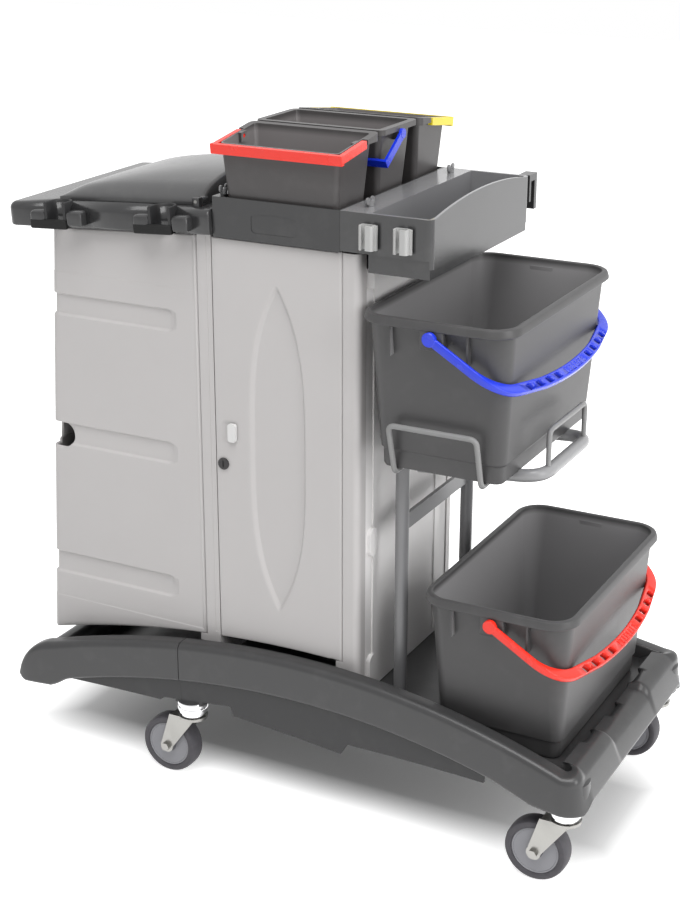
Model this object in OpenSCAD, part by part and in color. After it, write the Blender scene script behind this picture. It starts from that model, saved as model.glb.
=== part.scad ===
// Janitor cart: a curved two-piece base on four swivel casters, a lockable side cabinet,
// a rear bag compartment with two wrap-round doors and a lid, top trays, and five buckets.
// Frame: +X is the bucket end, -Y the side with the cabinet door, +Z up, floor at z = 0.

/* [Casters] */
// Wheel diameter
wheel_d = 95; // [90:1:98]
// Wheel width
wheel_w = 30; // [26:1:32]
// Distance the wheel trails behind its swivel axis
caster_trail = 39; // [36:1:42]
// Diameter of the wheel axle
axle_d = 8; // [7:0.5:10]
// Diameter of the swivel stem
stem_d = 12; // [10:0.5:14]
// Diameter of the bearing cup
cup_d = 48; // [44:1:50]
// Distance of each rear swivel axis in from the base's side at its waist
rear_inset = 15; // [13:1:18]
// Distance of each front swivel axis in from the base's side at its waist
front_inset = 1; // [0:0.5:3]

/* [Base] */
// Distance of the base's side at its waist out from the doors' faces
waist_over = 34; // [33:1:36]
// Width of each side rail
rail_w = 28; // [24:1:30]
// Height of each side rail
rail_h = 64; // [58:1:66]
// Height of the rail tops at the waist
rail_top = 243; // [241:1:244]
// Height of the platform that carries the lower bucket
platform_z = 171; // [169:1:172]
// Thickness of the decks
deck_t = 8; // [6:1:10]

/* [Cabinet and bag compartment] */
// Half width over the doors
cabinet_half = 165; // [162:1:165]
// Height of the side door's lower edge
door_bottom = 247; // [246:1:250]
// Height of the side door's top edge
door_top = 868; // [864:1:868]
// Thickness of the door skins
door_skin = 3; // [2.5:0.5:4]
// Length of the bag compartment
bag_len = 275; // [265:1:280]
// Corner radius of the bag doors
bag_corner = 12; // [9:1:18]
// Diameter of the hinge pins
hinge_pin_d = 5; // [4:0.5:6]
// Thickness of the fixed panels
panel_t = 5; // [4:0.5:6]

/* [Large buckets] */
// Rim size along the cart
bucket_x = 230; // [226:1:232]
// Rim size across the cart
bucket_y = 408; // [400:1:410]
// Height of a large bucket
bucket_h = 230; // [222:1:232]
// Wall of the buckets
bucket_wall = 3; // [2.5:0.5:4]
// Height at which the upper bucket stands
upper_z = 569; // [566:1:572]
// Length of a large bucket's bail arm
bail_arm = 144; // [144:1:148]
// Angle of the large bails below the horizontal at rest
bail_droop = 31; // [28:1:31]

/* [Small buckets] */
// Rim size of a small bucket along the cart
small_x = 205; // [200:1:206]
// Rim size of a small bucket across the cart
small_y = 114; // [110:1:115]
// Height of a small bucket
small_h = 134; // [128:1:136]

/* [Top trays] */
// Overhang of the trays past the doors' faces
tray_over = 6; // [5:1:8]
// Height of the middle tray's top
tray_top = 928; // [925:1:930]
// Depth of the front tray's bin below the top
bin_depth = 82; // [72:1:86]
// Wall of the trays
tray_wall = 3; // [2.5:0.5:3.5]

/* [Cradle] */
// Diameter of the upright posts
post_d = 20; // [16:1:24]
// Diameter of the cradle's wire
wire_d = 8; // [6:0.5:9]
// Diameter of the cradle's handle tube
tube_d = 19; // [16:1:20]

/* [Hidden] */
$fn = 64;
// Gap between pieces that touch, and running clearance of a pin in its bore
seat = 0.3;
run = 0.05;
// Half widths of the base, the wheel track, the trays and the bag frame
waist_half = cabinet_half + waist_over;
track = [waist_half - rear_inset, waist_half - front_inset];
tray_half = cabinet_half + tray_over;
frame_over = 15;
frame_half = cabinet_half + frame_over;
// Wheels, forks and cups
wheel_r = wheel_d / 2;
swivel_x = [-183, 443];
cup_low = 106;
cup_z = [cup_low, cup_low + 25];
crown_t = 4.5;
leg_t = 2.5;
leg_gap = 2;
tyre_t = 12;
// Base curves
arc_r = 1730;
flare_r = 2889;
base_rear = -480;
base_front = 443;
seam_x = -187;
rear_deck_x = base_rear + 40;
rear_skirt_x = base_rear + 87;
front_deck_x = 200;
front_skirt_x = 322;
skirt_inset = 6;
skirt_edge = [[rear_skirt_x, 133], [-231, 126.5], [-225, 131.5], [-108, 141], [-103, 126], [83, 109], [95, 128],
    [front_skirt_x, 134.5]];
nose_x = [330, 345, 398];
nose_z = [124, 126, 145, 160, 182, 196];
housing_r = 32;
bumper_x = [438, 488];
bumper_z = [142, 205];
dip_half = 75;
dip_z = 183;
slot_y = [-105, 0, 105];
function arc_z(x, top, r) = top - r + sqrt(r * r - x * x);
function rail_z(x) = arc_z(x, rail_top, arc_r);
function deck_z(x) = arc_z(x, rail_top - rail_h + deck_t, arc_r - rail_h + deck_t);
// Cabinet and compartment places
cab_x = [-165, 97];
door_x = [-140, 71];
pillar_d = 22;
panel_gap = 0.8;
knuckle_r = 5;
pin_z = 22;
bag_rear = cab_x[0] - bag_len;
bag_top = 848;
bag_lift = 5;
door_lift = 4;
bag_head = 3.5;
// Large bucket shape
rim_lip = 13;
rim_over = 8;
foot_h = 30;
bucket_draft = [12, 28];
pivot_drop = 22;
bail_pin_d = 8;
bail_t = 14;
bail_w = 6;
upper_x = 223;
lower_x = 323;
lower_z = platform_z + seat;
pivot_y = bucket_y / 2 + 1;
// Small bucket shape
small_arm = small_y / 2 + 7;
small_slant = 8;
small_pitch = small_y + 8;
small_mid = -25.5;
small_draft = 12;
small_rim = 8;
tray_floor = tray_top - 44;
small_z = tray_floor + seat;
small_pivot_z = small_z + small_h - 12;
small_pin_d = 6;
// Trays
mid_x = [-132.5, 69.7];
front_x = [70, 207];
tray_low = door_top + 2;
// Cradle
post_x = 143;
post_y = 116;
tie_z = 464;
cradle_z = upper_z - seat;

// Piece to draw, or all of them

// Shared shapes

module block(x, y, z) {
    translate([x[0], y[0], z[0]])
        cube([x[1] - x[0], y[1] - y[0], z[1] - z[0]]);
}

module both_sides() {
    children();
    mirror([0, 1, 0]) children();
}

module round_rect(x, y, r) {
    translate([x[0] + r, y[0]]) square([x[1] - x[0] - 2 * r, y[1] - y[0]]);
    translate([x[0], y[0] + r]) square([x[1] - x[0], y[1] - y[0] - 2 * r]);
    for (cx = [x[0] + r, x[1] - r], cy = [y[0] + r, y[1] - r])
        translate([cx, cy]) circle(r);
}

// A profile drawn in x and z, drawn out along y
module side_cut(y) {
    translate([0, y[1], 0])
        rotate([90, 0, 0])
            linear_extrude(y[1] - y[0]) children();
}

module rod_y(x, y, z, d) {
    translate([x, y[0], z]) rotate([-90, 0, 0]) cylinder(d = d, h = y[1] - y[0]);
}

module rod_x(x, y, z, d) {
    translate([x[0], y, z]) rotate([0, 90, 0]) cylinder(d = d, h = x[1] - x[0]);
}

module rod_z(x, y, z, d) {
    translate([x, y, z[0]]) cylinder(d = d, h = z[1] - z[0]);
}

// Base: side rails that rise to the middle and flare outwards to both ends

seam_gap = seat / 2;
stud_d = 10;
bulb_r = 62;
bulb_x = base_rear + bulb_r / 2;
bulb_z = rail_z(base_rear + bulb_r) - bulb_r - 1;
bulb_low = 13;
socket_r = 27;
socket_top = rail_z(swivel_x[0]) - rail_h + 6;

module arc_band(x, r_in, r_out) {
    intersection() {
        translate([0, rail_top - arc_r]) difference() {
            circle(r_out, $fn = 720);
            circle(r_in, $fn = 720);
        }
        translate([x[0], 60]) square([x[1] - x[0], 260]);
    }
}

// Plan strip of the near rail between two distances in from its outer face
module rail_strip(inset) {
    intersection() {
        translate([0, -waist_half - flare_r]) difference() {
            circle(flare_r + inset[1], $fn = 720);
            circle(flare_r + inset[0], $fn = 720);
        }
        translate([-520, -320]) square([1040, 320]);
    }
}

// Plan of what lies between the two rails
module between_rails(inset) {
    difference() {
        translate([-520, -320]) square([1040, 640]);
        for (side = [-1, 1])
            translate([0, side * (waist_half + flare_r)]) circle(flare_r + inset, $fn = 720);
    }
}

module on_rails(inset) {
    both_sides() intersection() {
        side_cut([-320, 0]) children();
        linear_extrude(320) rail_strip(inset);
    }
}

module deck(x) {
    intersection() {
        side_cut([-320, 320]) arc_band(x, arc_r - rail_h, arc_r - rail_h + deck_t);
        linear_extrude(320) between_rails(rail_w / 2);
    }
}

module rails(x) {
    on_rails([0, rail_w]) arc_band(x, arc_r - rail_h, arc_r);
}

// Set-back skirt below a rail, with a stepped lower edge
module skirts(x) {
    top = rail_top;
    on_rails([skirt_inset, skirt_inset + 5]) intersection() {
        polygon(concat(skirt_edge, [[front_skirt_x, top], [rear_skirt_x, top]]));
        translate([x[0], 0]) square([x[1] - x[0], top]);
        translate([0, rail_top - arc_r]) circle(arc_r - rail_h + 4, $fn = 720);
    }
}

module sockets(end, r, z) {
    x = swivel_x[end];
    y = -track[end];
    both_sides() difference() {
        rod_z(x, y, z, 2 * r);
        rod_z(x, y, [0, cup_z[1] + seat], cup_d + 2 * seat);
        rod_z(x, y, [0, cup_z[1] + 20], stud_d + 2 * run);
    }
}

module base_rear() {
    color("#5a5a5c") difference() {
        union() {
            rails([bulb_x, seam_x - seam_gap]);
            on_rails([0, rail_w]) translate([base_rear + bulb_r, bulb_z]) intersection() {
                circle(bulb_r);
                translate([-bulb_r, -bulb_low]) square([bulb_r, 2 * bulb_r]);
            }
            deck([rear_deck_x, seam_x - seam_gap]);
            skirts([rear_skirt_x, seam_x - seam_gap]);
            side_cut([-waist_half - 8, waist_half + 8])
                round_rect([base_rear + 12, base_rear + 52], [124, 166], 16);
        }
        both_sides() rod_z(swivel_x[0], -track[0], [0, socket_top + seat], 2 * (socket_r + seat));
    }
}

module base_front() {
    slot = [bumper_x[0] + 4, bumper_x[0] + 18];
    color("#5a5a5c") difference() {
        union() {
            rails([seam_x + seam_gap, base_front]);
            difference() {
                union() {
                    deck([seam_x + seam_gap, front_deck_x]);
                    skirts([seam_x + seam_gap, front_skirt_x]);
                }
                both_sides() rod_z(swivel_x[0], -track[0], [0, cup_z[1] + 30], cup_d + 2);
            }
            intersection() {
                sockets(0, socket_r, [cup_z[1] - 3, socket_top]);
                linear_extrude(320) between_rails(skirt_inset);
            }
            intersection() {
                block([front_deck_x - 10, bumper_x[0] + 20], [-320, 320], [platform_z - deck_t, platform_z]);
                linear_extrude(320) between_rails(rail_w / 2);
            }
            on_rails([0, rail_w]) polygon([[nose_x[0], nose_z[3]], [nose_x[1], nose_z[2]],
                [nose_x[2], nose_z[1]],
                [base_front, nose_z[0]], [base_front, nose_z[4]], [nose_x[0], nose_z[5]]]);
            difference() {
                side_cut([-track[1], track[1]])
                    round_rect(bumper_x, bumper_z, 18);
                block(bumper_x + [-8, 12], [-dip_half, dip_half], [dip_z, dip_z + 40]);
                both_sides() rod_z(swivel_x[1], -track[1], [0, 300], 2 * housing_r - 4);
            }
            sockets(1, housing_r, [nose_z[0], nose_z[0] + 68]);
        }
        for (y = slot_y)
            linear_extrude(320) round_rect(slot, [y - 24, y + 24], 6.5);
        both_sides() rod_z(swivel_x[1], -track[1], [0, cup_z[1] + seat], cup_d + 2 * seat);
        both_sides() rod_z(swivel_x[1], -track[1], [0, cup_z[1] + 20], stud_d + 2 * run);
    }
}

// Casters: a bearing cup on a stud, a swivelling fork, an axle bolt, a hub and a tyre

leg_y = [wheel_w / 2 + leg_gap, wheel_w / 2 + leg_gap + leg_t];
crown_z = [cup_low - crown_t - 0.5, cup_low - 0.5];
hub_r = wheel_r - tyre_t;

module at_caster(end, side) {
    translate([swivel_x[end], side * track[end], 0]) children();
}

module caster_cups() {
    color("#d8d8da") for (end = [0, 1], side = [-1, 1]) at_caster(end, side) difference() {
        union() {
            rod_z(0, 0, [cup_z[0], cup_z[0] + 8], cup_d - 6);
            rod_z(0, 0, [cup_z[0] + 6, cup_z[1]], cup_d);
            rod_z(0, 0, [cup_z[0] + 8, cup_z[1] + 18], stud_d);
        }
        rod_z(0, 0, [0, cup_z[1] - 3], stem_d + 2 * run);
    }
}

module fork() {
    color("#c9c9c4") difference() {
        union() {
            rod_z(0, 0, crown_z, cup_d - 2);
            rod_z(0, 0, [crown_z[0], cup_z[1] - 4], stem_d);
            block([-30, 0], [-leg_y[1], leg_y[1]], crown_z);
            both_sides() side_cut([-leg_y[1], -leg_y[0]]) {
                polygon([[-caster_trail - 11, wheel_r], [-caster_trail + 11, wheel_r],
                    [14, crown_z[1]], [-32, crown_z[1]]]);
                translate([-caster_trail, wheel_r]) circle(11);
            }
        }
        rod_y(-caster_trail, [-60, 60], wheel_r, axle_d + 2 * run);
    }
}

module axle() {
    head = leg_y[1] + run;
    color("#b8b8b4") translate([-caster_trail, 0, wheel_r]) {
        rod_y(0, [-head - 1, head + 1], 0, axle_d);
        for (side = [-1, 1])
            translate([0, side * (head + 3), 0]) rotate([90, 0, 0])
                cylinder(d = axle_d + 6, h = 6, center = true, $fn = 6);
    }
}

module hub() {
    half = wheel_w / 2;
    color("#a5a5ac") translate([-caster_trail, 0, wheel_r]) rotate([90, 0, 0]) difference() {
        union() {
            cylinder(r = hub_r, h = wheel_w - 10, center = true);
            cylinder(d = axle_d + 16, h = wheel_w + leg_gap, center = true);
        }
        for (side = [0, 1]) mirror([0, 0, side]) translate([0, 0, half - 9]) difference() {
            cylinder(r = hub_r - 5, h = 20);
            cylinder(d = axle_d + 16, h = 20);
        }
        cylinder(d = axle_d + 2 * run, h = 3 * wheel_w, center = true);
    }
}

module tyre() {
    color("#46444b") translate([-caster_trail, 0, wheel_r]) rotate([90, 0, 0])
        rotate_extrude($fn = 96)
            round_rect([hub_r + run, wheel_r], [-wheel_w / 2, wheel_w / 2], 5);
}

module fork_rear_near() { at_caster(0, -1) fork(); }
module fork_rear_far() { at_caster(0, 1) fork(); }
module fork_front_near() { at_caster(1, -1) fork(); }
module fork_front_far() { at_caster(1, 1) fork(); }
module axle_rear_near() { at_caster(0, -1) axle(); }
module axle_rear_far() { at_caster(0, 1) axle(); }
module axle_front_near() { at_caster(1, -1) axle(); }
module axle_front_far() { at_caster(1, 1) axle(); }
module hub_rear_near() { at_caster(0, -1) hub(); }
module hub_rear_far() { at_caster(0, 1) hub(); }
module hub_front_near() { at_caster(1, -1) hub(); }
module hub_front_far() { at_caster(1, 1) hub(); }
module tyre_rear_near() { at_caster(0, -1) tyre(); }
module tyre_rear_far() { at_caster(0, 1) tyre(); }
module tyre_front_near() { at_caster(1, -1) tyre(); }
module tyre_front_far() { at_caster(1, 1) tyre(); }

// Cabinet: corner pillars, fixed panels and the side door

door_hinge = [door_x[1] - knuckle_r, knuckle_r - cabinet_half];
bag_hinge = [cab_x[0] - knuckle_r, knuckle_r - cabinet_half];
pin_bore = hinge_pin_d + 2 * run;
frame_x = mid_x[0] - 0.5;
frame_z = tray_low + 3;
frame_tilt = 3.7;
frame_h = 36;
function frame_low(x) = frame_z + (x - frame_x) * tan(frame_tilt);
pillar_in = cabinet_half - pillar_d;
rear_pillar_x = [cab_x[0] + 1, door_x[0] - panel_gap];
front_pillar_x = [door_x[1] + panel_gap, cab_x[1]];
bag_pin_z = rail_z(bag_hinge[0]) + bag_lift;

module rear_pillars() {
    top = frame_low(rear_pillar_x[0]) - seat;
    lug_z = [bag_pin_z - 12, bag_pin_z - 1];
    color("#c4c1c0") both_sides() difference() {
        union() {
            block(rear_pillar_x, [-cabinet_half, -pillar_in], [deck_z(rear_pillar_x[1]) + seat, top]);
            block([bag_hinge[0] - 6, rear_pillar_x[1]], [-cabinet_half, bag_hinge[1] + 6], lug_z);
        }
        rod_z(bag_hinge[0], bag_hinge[1], lug_z + [-1, 1], pin_bore);
        block([rear_pillar_x[1] - 8, rear_pillar_x[1] + 1], [-cabinet_half - 1, 0.6 - cabinet_half],
            [door_bottom, door_top]);
    }
}

module front_pillars() {
    corner = 10;
    lug_z = [door_bottom - 12, door_bottom - 1];
    color("#c4c1c0") both_sides() difference() {
        union() {
            translate([0, 0, deck_z(front_pillar_x[0]) + seat])
                linear_extrude(door_top - deck_z(front_pillar_x[0]) - seat) {
                    translate([front_pillar_x[0], -cabinet_half])
                        square([front_pillar_x[1] - front_pillar_x[0] - corner, pillar_d]);
                    translate([front_pillar_x[0], corner - cabinet_half])
                        square([front_pillar_x[1] - front_pillar_x[0], pillar_d - corner]);
                    translate([front_pillar_x[1] - corner, corner - cabinet_half]) circle(corner);
                }
            block([door_hinge[0] - 6, front_pillar_x[0] + 1],
                [-cabinet_half, door_hinge[1] + 6], lug_z);
        }
        rod_z(door_hinge[0], door_hinge[1], lug_z + [-1, 1], pin_bore);
    }
}

module end_panel() {
    face = front_pillar_x[1] - 2;
    low = deck_z(front_pillar_x[0]) + seat;
    half = pillar_in - seat;
    top = tray_top - bin_depth - 4;
    color("#b9b8b8") {
        block([face - panel_t, face], [-half, half], [low, top]);
        for (y = [-108, 108])
            block([face - 1, face + 2], [y - 10, y + 10], [low + 10, top - 10]);
        for (z = [225, 430])
            translate([face - 1, -half + 20, z]) rotate([0, 90, 0]) linear_extrude(7)
                round_rect([-22, 22], [-11, 11], 10.9);
        block([face - 1, face + 12], [-half + 4, -half + 16], [top - 26, top - 2]);
    }
}

module bulkhead() {
    half = pillar_in - seat;
    low = deck_z(rear_pillar_x[1]) + seat;
    color("#b9b8b8") block([rear_pillar_x[0], rear_pillar_x[0] + panel_t - 1], [-half, half],
        [low, frame_low(rear_pillar_x[0]) - seat]);
}

module far_panel() {
    color("#c4c1c0") block([door_x[0], door_x[1]], [cabinet_half - panel_t, cabinet_half],
        [door_bottom, door_top]);
}

almond_x = -36;
almond_half = 47;
almond_z = [303, 811];
pull_x = -112;
pull_z = 578;
lock_x = -127;
lock_z = 527;
lock_d = 14;

module almond(grow) {
    half_h = (almond_z[1] - almond_z[0]) / 2;
    r = (half_h * half_h + almond_half * almond_half) / (2 * almond_half);
    translate([almond_x, almond_z[0] + half_h]) intersection_for (side = [-1, 1])
        translate([side * (r - almond_half), 0]) circle(r + grow, $fn = 360);
}

module side_door() {
    skin_y = [-cabinet_half, door_skin - cabinet_half];
    flange = [-cabinet_half, 15 - cabinet_half];
    left = door_x[0];
    right = door_hinge[0];
    color("#c4c1c0") difference() {
        union() {
            difference() {
                union() {
                    block([left, right], skin_y, [door_bottom, door_top]);
                    block([left, right - 16], skin_y, [door_bottom - 20, door_bottom + 1]);
                    block([left, left + door_skin], flange, [door_bottom - 20, door_top]);
                }
                side_cut([-cabinet_half - 1, 20 - cabinet_half]) translate([0, rail_top - arc_r])
                    circle(arc_r + door_lift, $fn = 720);
            }
            block([left, right - 12], flange, [door_top - door_skin, door_top]);
            side_cut(flange) arc_band([left, right - 12], arc_r + door_lift, arc_r + door_lift + door_skin);
            rod_z(right, door_hinge[1], [door_bottom, door_top], 2 * knuckle_r);
        }
        side_cut([-cabinet_half - 1, 0.9 - cabinet_half]) almond(0);
        rod_z(right, door_hinge[1], [door_bottom - 1, door_bottom + pin_z], pin_bore);
        rod_z(right, door_hinge[1], [door_top - pin_z, door_top + 1], pin_bore);
        rod_y(lock_x, [-cabinet_half - 1, 1 - cabinet_half + door_skin], lock_z, lock_d + 2 * run);
        block([pull_x - 3 - seat, pull_x + 3 + seat], [-cabinet_half - 1, 1 - cabinet_half + door_skin],
            [pull_z - 10 - seat, pull_z + 10 + seat]);
        side_cut([-cabinet_half - 1, 1.2 - cabinet_half])
            round_rect([pull_x - 14, pull_x + 10], [pull_z - 18, pull_z + 18], 7);
    }
}

module door_pull() {
    face = -cabinet_half + 1.2;
    color("#d6d5d3") {
        block([pull_x - 3, pull_x + 3], [face - 1, -cabinet_half + door_skin + 2],
            [pull_z - 10, pull_z + 10]);
        side_cut([face - 6, face - seat])
            round_rect([pull_x - 5, pull_x + 8], [pull_z - 14, pull_z + 14], 4);
    }
}

module door_lock() {
    inside = -cabinet_half + door_skin + seat;
    color("#2b2b2e") difference() {
        union() {
            rod_y(lock_x, [-cabinet_half - 2.5, -cabinet_half - seat], lock_z, lock_d + 4);
            rod_y(lock_x, [-cabinet_half - 1, inside + 4], lock_z, lock_d);
            block([lock_x - 4, lock_x + 4], [inside, inside + 3], [lock_z - 8, lock_z + 20]);
        }
        block([lock_x - 1, lock_x + 1], [-cabinet_half - 3, -cabinet_half - 1], [lock_z - 5, lock_z + 5]);
    }
}

module door_pins() {
    color("#b8b8b4") {
        rod_z(door_hinge[0], door_hinge[1], [door_bottom - 11.5, door_bottom + pin_z - 1], hinge_pin_d);
        rod_z(door_hinge[0], door_hinge[1], [door_top - pin_z + 1, tray_low + 11], hinge_pin_d);
    }
}

// Bag compartment: two doors that wrap round the rear corners

groove_z = [[287, 325], [508, 545], [716, 752]];
groove_front = [cab_x[0] - 50, cab_x[0] - 43, cab_x[0] - 37];
finger_z = 524;
finger_half = 20;
finger_x = bag_rear + 41;
finger_deep = 20;
bag_span = [150, 910];
bag_slope = 22;
groove_deep = 2.4;

// Half of the bag compartment, drawn in by an inset; its rear wall stands square to the tilted frame
module bag_half(inset) {
    intersection() {
        hull() for (end = [0, 1])
            translate([0, 0, bag_span[end]]) linear_extrude(0.01)
                round_rect([bag_rear + inset + bag_slope * (2 * end - 1), 0],
                    [inset - cabinet_half, cabinet_half - inset], bag_corner - inset, $fn = 32);
        block([bag_rear - 60, bag_hinge[0]], [-cabinet_half - 10, -seat], bag_span);
    }
}

module bag_door() {
    skin = door_skin + 1;
    color("#c4c1c0") difference() {
        union() {
            difference() {
                bag_half(0);
                bag_half(skin);
            }
            rod_z(bag_hinge[0], bag_hinge[1], [bag_span[0], bag_span[1] - 10], 2 * knuckle_r);
        }
        side_cut([-320, 20]) translate([0, rail_top - arc_r]) circle(arc_r + bag_lift, $fn = 720);
        translate([frame_x, 0, frame_z - bag_head]) rotate([0, -frame_tilt, 0])
            block([-500, 100], [-300, 20], [0, 200]);
        for (i = [0 : len(groove_z) - 1]) difference() {
            z = groove_z[i];
            intersection() {
                block([bag_rear - 60, groove_front[i]], [-300, 10], z);
                side_cut([-300, 10])
                    round_rect([bag_rear - 90, groove_front[i]], z, (z[1] - z[0]) / 2 - 0.1);
            }
            bag_half(groove_deep);
        }
        side_cut([-cabinet_half - 1, finger_deep - cabinet_half])
            round_rect([bag_rear - 60, finger_x], [finger_z - finger_half, finger_z + finger_half],
                finger_half - 0.1);
        rod_z(bag_hinge[0], bag_hinge[1], [0, bag_pin_z + pin_z], pin_bore);
        rod_z(bag_hinge[0], bag_hinge[1], [frame_low(bag_hinge[0]) - bag_head - pin_z, 900], pin_bore);
    }
}

module bag_door_near() { bag_door(); }
module bag_door_far() { mirror([0, 1, 0]) bag_door(); }

module bag_door_pins() {
    top = frame_low(bag_hinge[0]);
    color("#b8b8b4") both_sides() {
        rod_z(bag_hinge[0], bag_hinge[1], [bag_pin_z - 11.5, bag_pin_z + pin_z - 1], hinge_pin_d);
        rod_z(bag_hinge[0], bag_hinge[1], [top - 1 - pin_z, top + 11], hinge_pin_d);
    }
}

// Bag frame with its tool holders, and the lid over its opening

frame_len = 354.6;
mouth_x = [-266, -50];
mouth_half = 125;
holder_x = [[-302, -210], [-121, -26]];
holder_out = 16;
lid_axis = [-30, frame_h + 7.5];
lid_rear = -276;
lid_half = 150;
lid_wall = 3;
lid_crown = 45;
lid_rise = 38.5;
lid_arc = 1090;
lid_gap = 0.5;
lug_y = [lid_half + 1, lid_half + 13];

module in_frame() {
    translate([frame_x, 0, frame_z]) rotate([0, -frame_tilt, 0]) children();
}

module tool_holder(x) {
    mid = (x[0] + x[1]) / 2;
    difference() {
        block(x, [-frame_half - holder_out, 2 - frame_half], [6, frame_h]);
        rod_z(mid, -frame_half - 4, [0, 60], 30);
        block([mid - 10, mid + 10], [-frame_half - 30, -frame_half - 4], [0, 60]);
        block([mid - 30, mid + 30], [-frame_half - 30, -frame_half - 5], [14, 24]);
    }
}

module bag_frame() {
    tip = frame_h / 2;
    color("#55555a") difference() {
        in_frame() union() {
            difference() {
                union() {
                    block([tip - frame_len, 0], [-frame_half, frame_half], [0, frame_h]);
                    rod_y(tip - frame_len, [-frame_half, frame_half], tip, frame_h);
                }
                block(mouth_x, [-mouth_half, mouth_half], [-10, 60]);
            }
            both_sides() {
                for (x = holder_x) tool_holder(x);
                difference() {
                    block([lid_axis[0] - 6, lid_axis[0] + 6], lug_y, [frame_h - 4, lid_axis[1] + 6]);
                    rod_y(lid_axis[0], [0, 200], lid_axis[1], pin_bore);
                }
            }
        }
        both_sides() rod_z(bag_hinge[0], bag_hinge[1],
            [frame_z - 40, frame_low(bag_hinge[0]) + 12], pin_bore);
    }
}

// Solid under the lid's top, drawn in by a wall thickness
module lid_solid(inset) {
    low = frame_h + lid_gap - (inset > 0 ? 5 : 0);
    ax = lid_axis[0];
    az = lid_axis[1];
    half = lid_half - inset;
    r = (lid_half * lid_half + 29 * 29) / 58;
    intersection() {
        side_cut([-half, half]) intersection() {
            polygon([[ax + 4 - inset, az - 4], [ax + 4 - inset, az + 60], [lid_rear + inset, az + 60],
                [lid_rear + inset, low], [ax - 4, low]]);
            translate([ax + 10, az + lid_rise - lid_arc]) circle(lid_arc - inset, $fn = 720);
        }
        rotate([90, 0, 90]) translate([0, 0, -400]) linear_extrude(500)
            translate([0, frame_h + lid_gap + lid_crown - r]) circle(r - inset, $fn = 360);
    }
}

module bag_lid() {
    color("#606064") in_frame() difference() {
        union() {
            difference() {
                lid_solid(0);
                lid_solid(lid_wall);
            }
            both_sides() rod_y(lid_axis[0], [-lid_half, -lid_half + 14], lid_axis[1], 11);
        }
        both_sides() rod_y(lid_axis[0], [-lid_half - 1, -lid_half + 11], lid_axis[1], pin_bore);
    }
}

module lid_pins() {
    color("#b8b8b4") in_frame() both_sides()
        rod_y(lid_axis[0], [-lug_y[1], -lid_half + 10], lid_axis[1], hinge_pin_d);
}

// Trays on top of the cabinet

recess_x = [mid_x[0] + 12.5, mid_x[1] - tray_wall - 0.2];
recess_half = tray_half - tray_wall - 0.5;
label_x = [-70, 3];
label_z = [882, 910];
bin_x = [112, front_x[1] - 3];
bin_low = tray_top - bin_depth;
tray_corner = 10;

module middle_tray() {
    floor_z = tray_floor - tray_wall;
    color("#59595b") difference() {
        union() {
            difference() {
                block(mid_x, [-tray_half, tray_half], [tray_low, tray_top]);
                block(recess_x, [-recess_half, recess_half], [tray_floor, tray_top + 1]);
                block(mid_x + [tray_wall, -tray_wall], [tray_wall - tray_half, tray_half - tray_wall],
                    [tray_low - 1, floor_z]);
            }
            both_sides() block([door_hinge[0] - 8, mid_x[1]], [-tray_half, door_hinge[1] + 8],
                [tray_low, floor_z + 1]);
        }
        side_cut([-tray_half - 1, 0.8 - tray_half]) intersection() {
            round_rect(label_x, label_z, 6);
            translate([(label_x[0] + label_x[1]) / 2, label_z[1] - 160]) circle(160, $fn = 180);
        }
        rod_z(door_hinge[0], door_hinge[1], [tray_low - 1, tray_low + 11.5], pin_bore);
        rod_z(screw_at[0][0], screw_at[0][1], [tray_top - 12, tray_top + 1], screw_d + 2 * run);
    }
}

module front_tray() {
    skirt_y = tray_half - tray_wall;
    arch_r = 900;
    color("#59595b") difference() {
        intersection() {
            front_tray_body(skirt_y, arch_r);
            linear_extrude(2 * tray_top) {
                translate([front_x[0], -tray_half])
                    square([front_x[1] - front_x[0] - tray_corner, 2 * tray_half]);
                translate([front_x[0], tray_corner - tray_half])
                    square([front_x[1] - front_x[0], 2 * (tray_half - tray_corner)]);
                for (side = [-1, 1])
                    translate([front_x[1] - tray_corner, side * (tray_half - tray_corner)]) circle(tray_corner);
            }
        }
        block(bin_x + [tray_wall, -tray_wall], [tray_wall - skirt_y, skirt_y - tray_wall],
            [bin_low + tray_wall, tray_top + 60]);
        for (i = [1, 2])
            rod_z(screw_at[i][0], screw_at[i][1], [tray_top - 12, tray_top + 1], screw_d + 2 * run);
    }
}

module front_tray_body(skirt_y, arch_r) {
    block(front_x, [-tray_half, tray_half], [tray_top - 14, tray_top]);
    both_sides() block(front_x, [-tray_half, -skirt_y], [tray_low + 2, tray_top]);
    block(bin_x, [-skirt_y, skirt_y], [bin_low, tray_top]);
    intersection() {
        block([front_x[1] - 4, front_x[1]], [-tray_half, tray_half], [bin_low + 14, tray_top + 40]);
        translate([0, 0, tray_top + 14 - arch_r]) rotate([0, 90, 0])
            cylinder(r = arch_r, h = 300, $fn = 360);
    }
}

module tray_hook() {
    x = [front_x[1] - 18, front_x[1]];
    y = [tray_half + seat, tray_half + 29];
    color("#59595b") difference() {
        union() {
            block(x, y, [tray_top - 10, tray_top]);
            block(x, [y[1] - 9, y[1]], [tray_top - 54, tray_top]);
            block(x, [y[0], y[0] + 6], [tray_top - 40, tray_top]);
        }
        block([x[0] + 6, x[1] - 6], [y[1] - 20, y[1] + 1], [tray_top - 40, tray_top - 14]);
    }
}

clip_at = [115, 166.5];
clip_size = [22, 14];
clip_z = [tray_low + 10, tray_low + 44];

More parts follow.
